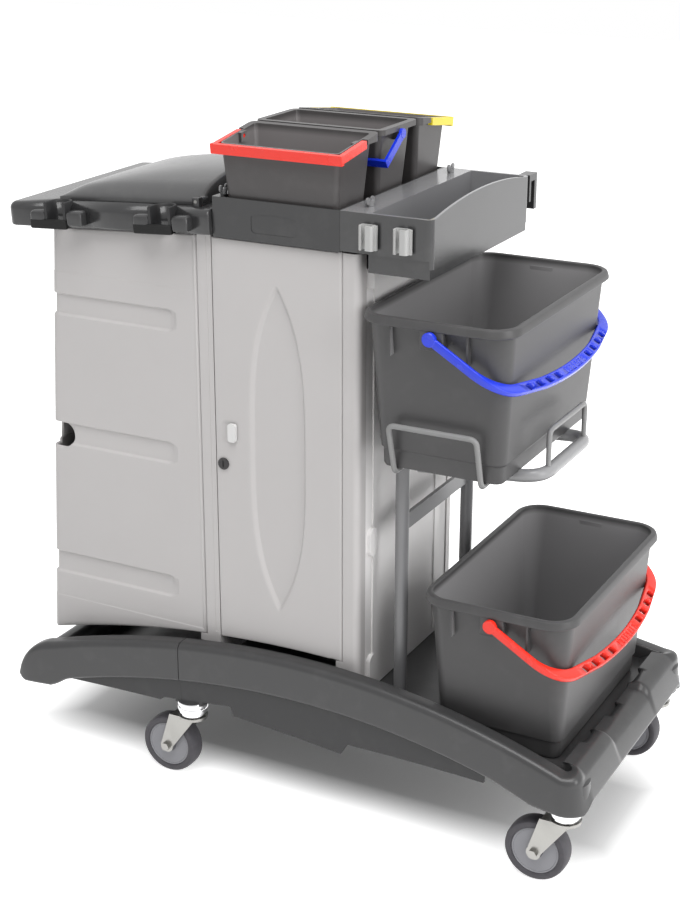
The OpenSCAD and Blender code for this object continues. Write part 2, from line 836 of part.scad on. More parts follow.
module tool_clips() {
    color("#cfcfcd") for (x = clip_at) translate([x, -tray_half - seat - clip_size[1] / 2, clip_z[0]])
        linear_extrude(clip_z[1] - clip_z[0]) {
            half = clip_size / 2;
            difference() {
                round_rect([-half[0], half[0]], [-half[1], half[1]], 4);
                round_rect([-half[0] + 3, half[0] - 3], [-half[1] + 3, half[1] - 3], 3);
                translate([-6, -half[1] - 1]) square([6, 6]);
            }
            translate([half[0] - 1, 0]) square([4, 4]);
        }
}

screw_d = 5;
screw_at = [[-126, 21 - tray_half], [94, 43 - tray_half], [94, tray_half - 34]];

module wing_screws() {
    color("#8b8b8d") for (p = screw_at) translate([p[0], p[1], tray_top]) {
        rod_z(0, 0, [-11, 8], screw_d);
        rod_z(0, 0, [seat, 8], 10);
        for (side = [-1, 1]) translate([0, side * 4, 3]) rotate([0, 90, 0])
            translate([0, side * 3, -1.25]) linear_extrude(2.5)
                round_rect([-10, 0], [-4, 4], 3.5);
    }
}

// Cradle: posts on the base, flat bars with a tube handle, and wire loops round the upper bucket

bar_t = 8;
bar_y = [104, 128];
bar_z = [cradle_z - bar_t, cradle_z];
bar_x = [post_x - 12, 300];
loop_x = [155, 287];
loop_y = bucket_y / 2 - 14;
loop_z = cradle_z + 72;
loop_lean = 22;
handle_front = [353, 75, cradle_z - 3];
handle_back = [296, 122, cradle_z - 16];
front_loop = [handle_front[0], 70];

// Round bar between two points
module rod(a, b, d) {
    v = b - a;
    l = norm(v);
    translate(a) rotate([0, acos(v[2] / l), atan2(v[1], v[0])]) cylinder(d = d, h = l);
}

module posts() {
    color("#6a6a6d") both_sides()
        rod_z(post_x, -post_y, [deck_z(post_x - post_d / 2) + seat, bar_z[0] - seat], post_d);
}

module crossbar() {
    reach = post_y - post_d / 2 - seat;
    color("#6a6a6d") block([post_x - 3, post_x + 3], [-reach, reach], [tie_z - 12, tie_z + 12]);
}

module cradle_handle() {
    a = [handle_front[0], -handle_front[1], handle_front[2]];
    b = [handle_back[0], -handle_back[1], handle_back[2]];
    color("#98989a") {
        both_sides() {
            block(bar_x, [-bar_y[1], -bar_y[0]], bar_z);
            rod(a, b, tube_d);
            translate(a) sphere(d = tube_d + 0.8);
        }
        rod_y(a[0], [a[1], -a[1]], a[2], tube_d);
        block([bar_x[0], bar_x[0] + 24], [-bar_y[0], bar_y[0]], bar_z);
    }
}

module cradle_rods() {
    low = cradle_z - wire_d / 2;
    foot = handle_front[2] + tube_d / 2 + seat;
    color("#969696") {
        both_sides() {
            for (x = loop_x) {
                foot_y = loop_y - loop_lean;
                rod_y(x, [-foot_y, -bar_y[1] - seat], low, wire_d);
                rod([x, -foot_y, low], [x, -loop_y, loop_z], wire_d);
                translate([x, -foot_y, low]) sphere(d = wire_d + 0.4);
                translate([x, -loop_y, loop_z]) sphere(d = wire_d + 0.4);
            }
            rod_x(loop_x, -loop_y, loop_z, wire_d);
            rod_z(front_loop[0], -front_loop[1], [foot, cradle_z + 58], wire_d);
            translate([front_loop[0], -front_loop[1], cradle_z + 58]) sphere(d = wire_d);
        }
        rod_y(front_loop[0], [-front_loop[1], front_loop[1]], cradle_z + 58, wire_d);
    }
}

// Buckets with tapered walls, a rolled rim, and a bail on two pivot pins

pivot_up = bucket_h - pivot_drop;
rim_half = [bucket_x / 2, bucket_y / 2];
top_half = [rim_half[0] - rim_over, rim_half[1] - rim_over];
low_half = [top_half[0] - bucket_draft[0], top_half[1] - bucket_draft[1]];
rim_corner = 42;
foot_corner = 16;
boss_half = 18;
bail_y = [rim_half[1] + 1, rim_half[1] + 1 + bail_w];

module centred_rect(half, r) {
    round_rect([-half[0], half[0]], [-half[1], half[1]], r, $fn = 32);
}

module frustum(low, top, r, h, r_low = 0) {
    skin = 0.01;
    hull() {
        linear_extrude(skin) centred_rect(low, r_low > 0 ? r_low : r);
        translate([0, 0, h - skin]) linear_extrude(skin) centred_rect(top, r);
    }
}

module large_bucket() {
    wall = [bucket_wall, bucket_wall];
    step = [4, 4];
    rib_top = bucket_h - rim_lip + 1;
    difference() {
        union() {
            linear_extrude(foot_h + 1) centred_rect(low_half - step, foot_corner - 2);
            translate([0, 0, foot_h]) frustum(low_half, top_half, rim_corner - 8, bucket_h - foot_h,
                foot_corner);
            translate([0, 0, bucket_h - rim_lip]) linear_extrude(rim_lip)
                centred_rect(rim_half, rim_corner);
            both_sides() {
                block([-boss_half, boss_half], [-rim_half[1] + 1, 30 - rim_half[1]],
                    [pivot_up - 17, rib_top]);
                for (x = [-64, 50])
                    block([x, x + 3], [-rim_half[1] + 4, 30 - rim_half[1]], [bucket_h - 55, rib_top]);
            }
        }
        translate([0, 0, bucket_wall]) linear_extrude(foot_h + 0.02)
            centred_rect(low_half - step - wall, foot_corner - 5);
        translate([0, 0, foot_h + bucket_wall]) frustum(low_half - wall, top_half - wall,
            rim_corner - 11, bucket_h - foot_h - bucket_wall + 0.01, foot_corner - 3);
        both_sides() rod_y(0, [-rim_half[1], 11 - rim_half[1]], pivot_up, bail_pin_d + 2 * run);
    }
}

bail_bow = 2400;
bail_corner = 54;
strap_w = 14;
grip_slot = [17, 6.5];

// Flat outline of a large bail, with its pivot axis along the second direction at the origin
module bail_outline() {
    inner_y = bail_y[0];
    difference() {
        intersection() {
            round_rect([-90, bail_arm], [-bail_y[1], bail_y[1]], bail_corner + bail_w);
            translate([bail_arm - bail_bow, 0]) circle(bail_bow, $fn = 720);
            translate([0, -300]) square([300, 600]);
        }
        intersection() {
            round_rect([-120, bail_arm - strap_w], [-inner_y, inner_y], bail_corner);
            translate([bail_arm - strap_w - bail_bow, 0]) circle(bail_bow, $fn = 720);
        }
        for (side = [-1, 1], i = [0:3]) {
            y = side * (58 + 27 * i);
            translate([bail_arm - strap_w / 2 - y * y / (2 * bail_bow), y])
                round_rect([-grip_slot[1] / 2, grip_slot[1] / 2],
                    [-grip_slot[0] / 2, grip_slot[0] / 2], 2.5);
        }
        for (side = [-1, 1], i = [-2:2])
            translate([bail_arm - strap_w / 2 + side * (strap_w / 2 + 1), 14 * i + 3.5 * side])
                square([6, 5], center = true);
    }
}

module large_bail() {
    both_sides() {
        rod_y(0, [-bail_y[1], -bail_y[0]], 0, 20);
        rod_y(0, [-bail_y[0] - 1, 10 - rim_half[1]], 0, bail_pin_d);
    }
    rotate([0, bail_droop, 0]) translate([0, 0, -bail_t / 2]) linear_extrude(bail_t) bail_outline();
}

module upper_bucket() {
    color("#58585a") translate([upper_x, 0, upper_z]) large_bucket();
}

module lower_bucket() {
    color("#58585a") translate([lower_x, 0, lower_z]) large_bucket();
}

module upper_bail() {
    color("#2546dc") translate([upper_x, 0, upper_z + pivot_up]) large_bail();
}

module lower_bail() {
    color("#ef4636") translate([lower_x, 0, lower_z + pivot_up]) large_bail();
}

small_rim_half = [small_x / 2, small_y / 2];
small_top = small_rim_half - [small_rim, small_rim - 1];
small_low = small_top - [10, small_draft];
small_lip = 8;
small_boss = 8;
small_bail_x = [small_rim_half[0] + 0.8, small_rim_half[0] + 4.8];
small_bar = [4.5, 12];
droop_mid = 34;
// The outer buckets have a rim that slopes down to the side, where the bail takes its place
side_pivot = [8, small_h - 13];
side_bail_x = [small_top[0] + 0.8, small_rim_half[0] + 0.4];
side_bar = [6, 14];
side_reach = small_rim_half[1] + 0.6;

module small_body() {
    wall = [2, 2];
    difference() {
        union() {
            frustum(small_low, small_top, 8, small_h);
            children();
        }
        translate([0, 0, 2]) frustum(small_low - wall, small_top - wall, 6, small_h);
    }
}

module small_bucket() {
    pivot = small_pivot_z - small_z;
    difference() {
        small_body() {
            translate([0, 0, small_h - small_lip]) linear_extrude(small_lip) centred_rect(small_rim_half, 10);
            for (side = [0, 1]) mirror([side, 0, 0])
                block([small_top[0] - 4, small_rim_half[0] - 0.5], [-small_boss, small_boss],
                    [pivot - 8, small_h - small_lip + 1]);
        }
        for (side = [0, 1]) mirror([side, 0, 0])
            rod_x([small_rim_half[0] - 6, small_rim_half[0] + 1], 0, pivot, small_pin_d + 2 * run);
    }
}

// Outer bucket, with its low side towards -y
module side_bucket() {
    lip_y = side_pivot[0] + small_bar[1];
    slope = tan(small_slant);
    boss_x = small_top[0] - small_rim;
    boss_top = side_pivot[1] + small_boss - 2;
    difference() {
        union() {
            small_body() intersection() {
                translate([0, 0, small_h - small_lip - 4]) linear_extrude(small_lip + 4)
                    centred_rect(small_rim_half, 10);
                block([-small_x, small_x], [lip_y, small_y], [0, small_h]);
            }
            for (side = [0, 1]) mirror([side, 0, 0])
                block([boss_x, small_top[0] - 1.9], [side_pivot[0] - small_boss, side_pivot[0] + small_boss],
                    [side_pivot[1] - small_boss, boss_top]);
        }
        side_slope() polygon([[-small_y, small_h - (small_y + small_rim_half[1]) * slope],
            [small_rim_half[1], small_h], [small_y, small_h], [small_y, small_h + 60],
            [-small_y, small_h + 60]]);
        for (side = [0, 1]) mirror([side, 0, 0])
            rod_x([boss_x - 1, small_rim_half[0]], side_pivot[0], side_pivot[1], small_pin_d + 2 * run);
    }
}

// A profile drawn in y and z, drawn out along x over a bucket
module side_slope() {
    rotate([90, 0, 90]) translate([0, 0, -small_x]) linear_extrude(2 * small_x) children();
}

// Bail of the middle bucket, reaching to -y and turned down by an angle
module small_bail(droop) {
    hub = 0.4;
    for (side = [-1, 1]) {
        outer = side * (small_bail_x[1] + hub);
        inner = side * (small_bail_x[0] - hub);
        rod_x([min(outer, inner), max(outer, inner)], 0, 0, small_bar[1] + 2);
        pin = side * (small_rim_half[0] - 5);
        rod_x([min(pin, outer), max(pin, outer)], 0, 0, small_pin_d);
    }
    rotate([droop, 0, 0]) {
        reach = small_arm - small_bar[0] / 2;
        half_h = small_bar[1] / 2;
        for (side = [-1, 1]) {
            outer = side * small_bail_x[1];
            inner = side * small_bail_x[0];
            block([min(outer, inner), max(outer, inner)], [-reach, 2], [-half_h, half_h]);
        }
        block([-small_bail_x[1], small_bail_x[1]], [-small_arm, small_bar[0] - small_arm],
            [-half_h, half_h]);
    }
}

// Bail of an outer bucket: broad straps along the sloping rim and a bar along the low side
module side_bail() {
    arm = (side_pivot[0] + side_reach) / cos(small_slant);
    half_h = side_bar[1] / 2;
    for (side = [-1, 1]) {
        outer = side * (side_bail_x[1] - 1);
        pin = side * (small_top[0] - small_rim + 0.5);
        rod_x([min(pin, outer), max(pin, outer)], 0, 0, small_pin_d);
    }
    rotate([small_slant, 0, 0]) {
        for (side = [-1, 1]) {
            outer = side * side_bail_x[1];
            inner = side * side_bail_x[0];
            block([min(outer, inner), max(outer, inner)], [-arm + 2, small_boss], [-half_h + 2, half_h - 1]);
        }
        block([-side_bail_x[1], side_bail_x[1]], [-arm, side_bar[0] - arm], [-half_h, half_h]);
    }
}

module at_small(i) {
    translate([small_mid, i * small_pitch, small_z]) children();
}

module small_bucket_near() { color("#5c5a5a") at_small(-1) side_bucket(); }
module small_bucket_mid() { color("#5c5a5a") at_small(0) small_bucket(); }
module small_bucket_far() { color("#5c5a5a") at_small(1) mirror([0, 1, 0]) side_bucket(); }

module small_bail_near() {
    color("#f04a38") at_small(-1) translate([0, side_pivot[0], side_pivot[1]]) side_bail();
}

module small_bail_mid() {
    color("#2038d8") translate([small_mid, 0, small_pivot_z]) small_bail(droop_mid);
}

module small_bail_far() {
    color("#ead93a") at_small(1) mirror([0, 1, 0]) translate([0, side_pivot[0], side_pivot[1]]) side_bail();
}

base_rear();
base_front();
caster_cups();
fork_rear_near();
fork_rear_far();
fork_front_near();
fork_front_far();
axle_rear_near();
axle_rear_far();
axle_front_near();
axle_front_far();
hub_rear_near();
hub_rear_far();
hub_front_near();
hub_front_far();
tyre_rear_near();
tyre_rear_far();
tyre_front_near();
tyre_front_far();
rear_pillars();
front_pillars();
end_panel();
bulkhead();
far_panel();
side_door();
door_pull();
door_lock();
door_pins();
bag_door_near();
bag_door_far();
bag_door_pins();
bag_frame();
bag_lid();
lid_pins();
middle_tray();
front_tray();
tray_hook();
tool_clips();
wing_screws();
posts();
crossbar();
cradle_rods();
cradle_handle();
upper_bucket();
upper_bail();
lower_bucket();
lower_bail();
small_bucket_near();
small_bucket_mid();
small_bucket_far();
small_bail_near();
small_bail_mid();
small_bail_far();
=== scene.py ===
# Looks of the janitor cart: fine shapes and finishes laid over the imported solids.
# Lengths are metres in the row frame: +X to the bucket end, -Y to the door side, +Z up.
import math

import bpy
import numpy as np
from mathutils import Matrix, Vector


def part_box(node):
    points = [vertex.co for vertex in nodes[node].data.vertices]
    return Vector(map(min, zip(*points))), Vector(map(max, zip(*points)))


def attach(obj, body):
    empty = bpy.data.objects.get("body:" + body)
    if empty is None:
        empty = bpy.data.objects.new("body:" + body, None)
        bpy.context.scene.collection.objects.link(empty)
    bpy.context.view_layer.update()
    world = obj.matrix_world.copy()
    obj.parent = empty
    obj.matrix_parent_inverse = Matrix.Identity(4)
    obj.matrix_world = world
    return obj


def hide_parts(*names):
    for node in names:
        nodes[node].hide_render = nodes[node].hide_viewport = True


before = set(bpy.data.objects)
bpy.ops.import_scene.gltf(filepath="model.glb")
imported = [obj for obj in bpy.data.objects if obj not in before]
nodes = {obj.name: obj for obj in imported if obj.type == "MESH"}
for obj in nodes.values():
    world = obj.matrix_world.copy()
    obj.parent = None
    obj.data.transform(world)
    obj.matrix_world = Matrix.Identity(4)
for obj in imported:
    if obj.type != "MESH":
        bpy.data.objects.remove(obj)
scene = bpy.context.scene
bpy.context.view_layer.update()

# Camera: a long lens a little above the trays, off the bucket end on the door side,
# turned down to the middle of the cart.
camera_from = Vector((1.1668, -2.2510, 1.4443))
camera_at = Vector((-0.020, 0.0, 0.508))
camera = bpy.data.objects.new("camera", bpy.data.cameras.new("camera"))
scene.collection.objects.link(camera)
camera.location = camera_from
camera.rotation_euler = (camera_at - camera_from).to_track_quat("-Z", "Y").to_euler()
camera.data.sensor_width = 36
camera.data.lens = 70.2
scene.camera = camera


# Floor and light: a pale floor that the camera sees burn out to white, but for a painted shadow
# under the cart, a studio sky that is brighter overhead, behind and off the bucket end, and two soft
# boxes for the highlights.
class Value:
    """An output of a shader node, so that shader maths reads as Python."""

    def __init__(self, tree, socket):
        self.tree = tree
        self.socket = socket

    def maths(self, operation, first, second):
        return shader_node(self.tree, "ShaderNodeMath", {"operation": operation}, [first, second])

    def __add__(self, other):
        return self.maths("ADD", self, other)

    def __radd__(self, other):
        return self.maths("ADD", other, self)

    def __sub__(self, other):
        return self.maths("SUBTRACT", self, other)

    def __rsub__(self, other):
        return self.maths("SUBTRACT", other, self)

    def __mul__(self, other):
        return self.maths("MULTIPLY", self, other)

    def __rmul__(self, other):
        return self.maths("MULTIPLY", other, self)

    def __truediv__(self, other):
        return self.maths("DIVIDE", self, other)

    def __rtruediv__(self, other):
        return self.maths("DIVIDE", other, self)

    def at_least(self, other):
        return self.maths("MAXIMUM", self, other)

    def at_most(self, other):
        return self.maths("MINIMUM", self, other)


def plug(tree, socket, item):
    if isinstance(item, Value):
        tree.links.new(item.socket, socket)
    else:
        socket.default_value = item


def shader_node(tree, kind, settings, inputs, output=0):
    """Adds one shader node; inputs is a list in socket order or a dict by socket name."""
    node = tree.nodes.new(kind)
    for name, value in settings.items():
        setattr(node, name, value)
    pairs = inputs.items() if isinstance(inputs, dict) else enumerate(inputs)
    for key, item in pairs:
        plug(tree, node.inputs[key], item)
    return Value(tree, node.outputs[output])


def between(value, low, high):
    """0 below low, 1 above high, and a straight ramp between them."""
    return ((value - low) / (high - low)).at_least(0.0).at_most(1.0)


def split(tree, vector):
    """The X, Y and Z of a vector."""
    return [shader_node(tree, "ShaderNodeSeparateXYZ", {}, [vector], k) for k in range(3)]


sky = bpy.data.worlds.new("studio sky")
sky.use_nodes = True
scene.world = sky
sky_tree = sky.node_tree
sky_tree.nodes.clear()
sky_way = shader_node(sky_tree, "ShaderNodeTexCoord", {}, {}, "Generated")
sky_x, sky_y, sky_z = split(sky_tree, sky_way)
overhead = between(sky_z, 0.15, 0.95)
bucket_end = between(sky_x, 0.2, 0.9)
behind = between(sky_y, 0.2, 0.9)
sky_level = 0.13 + 0.64 * overhead + 0.58 * bucket_end + 0.95 * behind


def seen_by(tree):
    """1 for what the camera sees straight, in a mirror or through glass, 0 for what lights the cart."""
    camera_ray = shader_node(tree, "ShaderNodeLightPath", {}, {}, "Is Camera Ray")
    glossy_ray = shader_node(tree, "ShaderNodeLightPath", {}, {}, "Is Glossy Ray")
    glass_ray = shader_node(tree, "ShaderNodeLightPath", {}, {}, "Is Transmission Ray")
    return camera_ray.at_least(glossy_ray).at_least(glass_ray)


sky_light = shader_node(sky_tree, "ShaderNodeBackground", {}, {"Color": sky_level})
sky_white = shader_node(sky_tree, "ShaderNodeBackground", {}, {"Color": (1, 1, 1, 1)})
sky_mix = shader_node(sky_tree, "ShaderNodeMixShader", {}, [seen_by(sky_tree), sky_light, sky_white])
sky_out = sky_tree.nodes.new("ShaderNodeOutputWorld")
sky_tree.links.new(sky_mix.socket, sky_out.inputs["Surface"])


def soft_box(name, place, aim, size, power):
    lamp = bpy.data.lights.new(name, "AREA")
    lamp.shape = "RECTANGLE"
    lamp.size, lamp.size_y = size
    lamp.energy = power
    lamp_object = bpy.data.objects.new(name, lamp)
    scene.collection.objects.link(lamp_object)
    lamp_object.location = place
    lamp_object.rotation_euler = (Vector(aim) - Vector(place)).to_track_quat("-Z", "Y").to_euler()


soft_box("overhead box", (0.5, -1.2, 3.3), (0, 0, 0.6), (2.2, 1.6), 64)
soft_box("bucket end box", (3.0, -0.6, 1.7), (0.2, 0, 0.7), (1.2, 2.2), 42)

floor_reach = 9.0
floor_mesh = bpy.data.meshes.new("floor")
floor_mesh.from_pydata([(x, y, 0) for x, y in ((-1, -1), (1, -1), (1, 1), (-1, 1))], [], [(0, 1, 2, 3)])
floor_mesh.transform(Matrix.Scale(floor_reach, 4))
floor = bpy.data.objects.new("floor", floor_mesh)
scene.collection.objects.link(floor)
floor_finish = bpy.data.materials.new("pale floor")
floor_finish.use_nodes = True
floor_tree = floor_finish.node_tree
floor_tree.nodes.clear()
floor_matt = shader_node(floor_tree, "ShaderNodeBsdfDiffuse", {}, {"Color": (0.9, 0.9, 0.9, 1)})
floor_place = shader_node(floor_tree, "ShaderNodeTexCoord", {}, {}, "Object")
floor_x, floor_y, _ = split(floor_tree, floor_place)
# Painted shadow: over the cart's footprint the glow is left out and it fades in past it, so the floor under
# the cart is painted darker.
painted_shadow_half = (0.46, 0.09)
painted_shadow_fade = 0.10
past_end = floor_x.at_least(0.0 - floor_x) - painted_shadow_half[0]
past_side = floor_y.at_least(0.0 - floor_y) - painted_shadow_half[1]
outside_painted_shadow = between(past_end.at_least(past_side), 0.0, painted_shadow_fade)
glow_past_painted_shadow = outside_painted_shadow * seen_by(floor_tree)
floor_glow_past_painted_shadow = shader_node(floor_tree, "ShaderNodeEmission", {}, {"Color": glow_past_painted_shadow, "Strength": 0.74})
floor_sum = shader_node(floor_tree, "ShaderNodeAddShader", {}, [floor_matt, floor_glow_past_painted_shadow])
floor_out = floor_tree.nodes.new("ShaderNodeOutputMaterial")
floor_tree.links.new(floor_sum.socket, floor_out.inputs["Surface"])
floor_mesh.materials.append(floor_finish)
scene.view_settings.view_transform = "Standard"


# Base: two moulded lengths of dark grey plastic, joined at a seam behind the cabinet.
# The side rails arch up to the middle and flare to both ends, over set-back skirts;
# a flat platform carries the lower bucket and a rounded bumper closes the front.
def mesh_object(name, points, faces, finish, smooth=40):
    """Makes a mesh object with soft shading and hard edges above an angle in degrees."""
    name = name.replace(" ", "_")
    mesh = bpy.data.meshes.new(name)
    mesh.from_pydata([tuple(p) for p in points], [], [tuple(f) for f in faces])
    mesh.validate()
    mesh.update()
    mesh.polygons.foreach_set("use_smooth", [True] * len(mesh.polygons))
    mesh.set_sharp_from_angle(angle=math.radians(smooth))
    mesh.materials.append(finish)
    made = bpy.data.objects.new(name, mesh)
    scene.collection.objects.link(made)
    return made


class Shape:
    """Points and faces of one piece, gathered from several stretches."""

    def __init__(self):
        self.points = []
        self.faces = []

    def loft(self, rings, ends=True, closed=True):
        """Skins rings of equal length in order; closed rings run round, open ones are strips."""
        base = len(self.points)
        count = len(rings[0])
        for ring in rings:
            self.points.extend(ring)
        steps = count if closed else count - 1
        for r in range(len(rings) - 1):
            a = base + r * count
            b = a + count
            for k in range(steps):
                n = (k + 1) % count
                self.faces.append((a + k, a + n, b + n, b + k))
        if ends and closed:
            last = base + (len(rings) - 1) * count
            self.faces.append(tuple(base + k for k in reversed(range(count))))
            self.faces.append(tuple(last + k for k in range(count)))

    def box(self, low, high, round_by=0.0):
        """An upright block; its upright edges may be rounded."""
        middle = ((low[0] + high[0]) / 2, (low[1] + high[1]) / 2)
        half = ((high[0] - low[0]) / 2, (high[1] - low[1]) / 2)
        self.loft([round_ring(middle, half, round_by, z) for z in (low[2], high[2])])

    def mirror_y(self):
        """Adds the same shape on the far side."""
        base = len(self.points)
        self.points.extend([(p[0], -p[1], p[2]) for p in self.points[:base]])
        self.faces.extend([tuple(base + k for k in reversed(f)) for f in list(self.faces)])

    def make(self, name, finish, smooth=40):
        return mesh_object(name, self.points, self.faces, finish, smooth)


def corner_arc(cx, cy, r, start, end, steps):
    turns = [math.radians(start + (end - start) * k / steps) for k in range(steps + 1)]
    return [(cx + r * math.cos(t), cy + r * math.sin(t)) for t in turns]


def round_outline(low, high, radii, steps=6):
    """Counter-clockwise rectangle with a radius for each corner, from the low-low corner round."""
    a, b, c, d = [max(r, 1e-6) for r in radii]
    points = corner_arc(low[0] + a, low[1] + a, a, 180, 270, steps)
    points += corner_arc(high[0] - b, low[1] + b, b, 270, 360, steps)
    points += corner_arc(high[0] - c, high[1] - c, c, 0, 90, steps)
    points += corner_arc(low[0] + d, high[1] - d, d, 90, 180, steps)
    return points


def round_ring(middle, half, r, z, steps=6):
    """The same in plan about a middle point, at one height."""
    low = (middle[0] - half[0], middle[1] - half[1])
    high = (middle[0] + half[0], middle[1] + half[1])
    return [(x, y, z) for x, y in round_outline(low, high, (r, r, r, r), steps)]


class Finish:
    """A material under construction: a Principled shader and the values that feed it."""

    def __init__(self, name):
        self.material = bpy.data.materials.new(name)
        self.material.use_nodes = True
        self.tree = self.material.node_tree
        self.shader = self.tree.nodes["Principled BSDF"]
        self.place = self.node("ShaderNodeTexCoord", {}, {}, "Object")

    def node(self, kind, settings, inputs, output=0):
        return shader_node(self.tree, kind, settings, inputs, output)

    def noise(self, scale, detail=2.0, stretch=(1, 1, 1)):
        place = self.node("ShaderNodeMapping", {}, {"Vector": self.place, "Scale": stretch})
        return self.node("ShaderNodeTexNoise", {}, {"Vector": place, "Scale": scale, "Detail": detail})

    def blend(self, amount, colour_a, colour_b):
        mix = self.tree.nodes.new("ShaderNodeMix")
        mix.data_type = "RGBA"
        plug(self.tree, mix.inputs[0], amount)
        plug(self.tree, mix.inputs[6], colour_a)
        plug(self.tree, mix.inputs[7], colour_b)
        return Value(self.tree, mix.outputs[2])

    def bump(self, height, depth, under=None):
        inputs = {"Height": height, "Distance": depth, "Strength": 1.0}
        if under is not None:
            inputs["Normal"] = under
        return self.node("ShaderNodeBump", {}, inputs)

    def set(self, **inputs):
        for name, item in inputs.items():
            plug(self.tree, self.shader.inputs[name.replace("_", " ")], item)
        return self.material


def shade(colour, factor):
    return tuple(c * factor for c in colour) + (1.0,)


def moulded(name, colour, roughness, grain=0.00004, grain_scale=1400, coat=0.0, hollow=None):
    """Injection-moulded plastic: even colour with faint flow clouds, fine grain, a little dust.

    A hollow gives the middle of a vessel in plan, the height of its rim and how many times lighter
    its inside walls and floor are painted than its outside: painted light, for light falling into it.
    """
    finish = Finish(name)
    cloud = finish.noise(5.0, 3.0)
    dust = between(finish.noise(38.0, 5.0), 0.52, 0.78)
    tint = finish.blend(cloud, shade(colour, 0.96), shade(colour, 1.04))
    tint = finish.blend(dust * 0.03, tint, shade((0.40, 0.39, 0.38), 1.0))
    # Painted light: a vessel's inner walls and floor below the rim get a lighter copy of its colour.
    if hollow is not None:
        middle, rim, painted_light_gain = hollow
        facing = finish.node("ShaderNodeTexCoord", {}, {}, "Normal")
        away_x, away_y, away_z = split(finish.tree, facing)
        place_x, place_y, place_z = split(finish.tree, finish.place)
        inward = between(away_x * (middle[0] - place_x) + away_y * (middle[1] - place_y), 0.02, 0.03)
        bottom = between(away_z, 0.4, 0.6)
        inside = inward.at_least(bottom) * between(rim - place_z, 0.004, 0.012)
        tint = finish.blend(inside, tint, shade(colour, painted_light_gain))
    rough = roughness + 0.06 * (cloud - 0.5) + 0.04 * dust
    sag = finish.bump(finish.noise(9.0, 1.0), 0.0006)
    skin = finish.bump(finish.noise(grain_scale, 1.0), grain, sag)
    finish.set(Base_Color=tint, Roughness=rough, Normal=skin, Coat_Weight=coat, Coat_Roughness=0.2)
    return finish.set(Specular_IOR_Level=0.35)


grey_moulding = moulded("dark grey moulding", (0.042, 0.042, 0.043), 0.30, coat=0.15)
# Painted shade: the skirts and rear caster sockets, set back under the rails, get a darker, matt copy of the
# base plastic.
shadow_moulding = moulded("skirt moulding in painted shade", (0.034, 0.034, 0.035), 0.50)

waist_half = 0.199
flare_radius = 2.889
rail_width = 0.028
rail_depth = 0.064
arch_radius = 1.730
rail_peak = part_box("base_front")[1].z
seam_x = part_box("base_front")[0].x + 0.0159
seam_gap = 0.0006
swivel_x = {"rear": -0.183, "front": 0.443}
swivel_y = {"rear": 0.184, "front": 0.198}


def rail_half(x):
    return waist_half + x * x / (2 * flare_radius)


def rail_top(x):
    return rail_peak - arch_radius + math.sqrt(arch_radius ** 2 - x * x)


def rail_low(x):
    r = arch_radius - rail_depth
    return rail_peak - arch_radius + math.sqrt(r * r - x * x)


def spread(start, end, count):
    return [start + (end - start) * k / (count - 1) for k in range(count)]


class Station:
    """A place along the rim of the base: a point on its outer edge and the way out from it."""

    def __init__(self, x, y, out, width, low, top, crown=0.012, lean=0.0):
        self.at = (x, y)
        self.out = out
        self.width = width
        self.low = low
        self.top = top
        self.crown = crown
        self.lean = lean

    def ring(self):
        """Cross-section of the rim there: a broad round on the top outer edge."""
        crown = min(self.crown, 0.45 * (self.top - self.low), 0.45 * self.width)
        foot = min(0.006, 0.3 * (self.top - self.low))
        outline = round_outline((-self.width, self.low), (0.0, self.top), (0.004, foot, crown, 0.004), 6)
        ring = []
        for across, z in outline:
            across -= self.lean * (z - self.low) / (self.top - self.low)
            ring.append((self.at[0] + self.out[0] * across, self.at[1] + self.out[1] * across, z))
        return ring


def near_rail(stations, low_edge):
    return [Station(x, -rail_half(x), (0, -1), rail_width, low_edge(x), rail_top(x)) for x in stations]


skirt_edge = ((-0.393, 0.133), (-0.231, 0.1265), (-0.225, 0.1315), (-0.108, 0.141),
              (-0.103, 0.126), (0.083, 0.109), (0.095, 0.128), (0.322, 0.1345))


def skirt(shape, start, end):
    """Set-back wall under the near rail, with a stepped lower edge."""
    stations = {start, end}
    stations.update(spread(start, end, 24))
    stations.update(x for x, _ in skirt_edge)
    rings = []
    for x in sorted(s for s in stations if start <= s <= end):
        face = -rail_half(x) + 0.006
        top = rail_low(x) + 0.003
        low = float(np.interp(x, [p[0] for p in skirt_edge], [p[1] for p in skirt_edge]))
        rings.append([(x, face, low), (x, face + 0.005, low), (x, face + 0.005, top), (x, face, top)])
    shape.loft(rings)


def deck(shape, start, end, low, high):
    """Plate between the rails, following their plan; low and high give its two faces."""
    rings = []
    for x in spread(start, end, 25):
        half = rail_half(x) - rail_width / 2
        rings.append([(x, -half, low(x)), (x, half, low(x)), (x, half, high(x)), (x, -half, high(x))])
    shape.loft(rings)


def turned(shape, middle, profile, sides=48):
    """An upright turned form; profile is a list of radius and height from the bottom up."""
    turns = [2 * math.pi * k / sides for k in range(sides)]
    rings = []
    for r, z in profile:
        r = max(r, 1e-5)
        rings.append([(middle[0] + r * math.cos(t), middle[1] + r * math.sin(t), z) for t in turns])
    shape.loft(rings)


def deck_high(x):
    return rail_low(x) + 0.008


nose_radius = 0.062
nose_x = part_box("base_rear")[0].x
nose_z = rail_top(nose_x + nose_radius) - nose_radius - 0.001
nose_low = 0.013


def ramp(value, low, high):
    """0 below low, 1 above high, and a smooth step between them."""
    t = min(1.0, max(0.0, (value - low) / (high - low)))
    return t * t * (3 - 2 * t)


def rear_low(x):
    """Lower edge of the rail, which drops a little to the nose."""
    return nose_z - nose_low + (rail_low(x) - nose_z + nose_low) * ramp(x, -0.430, -0.392)


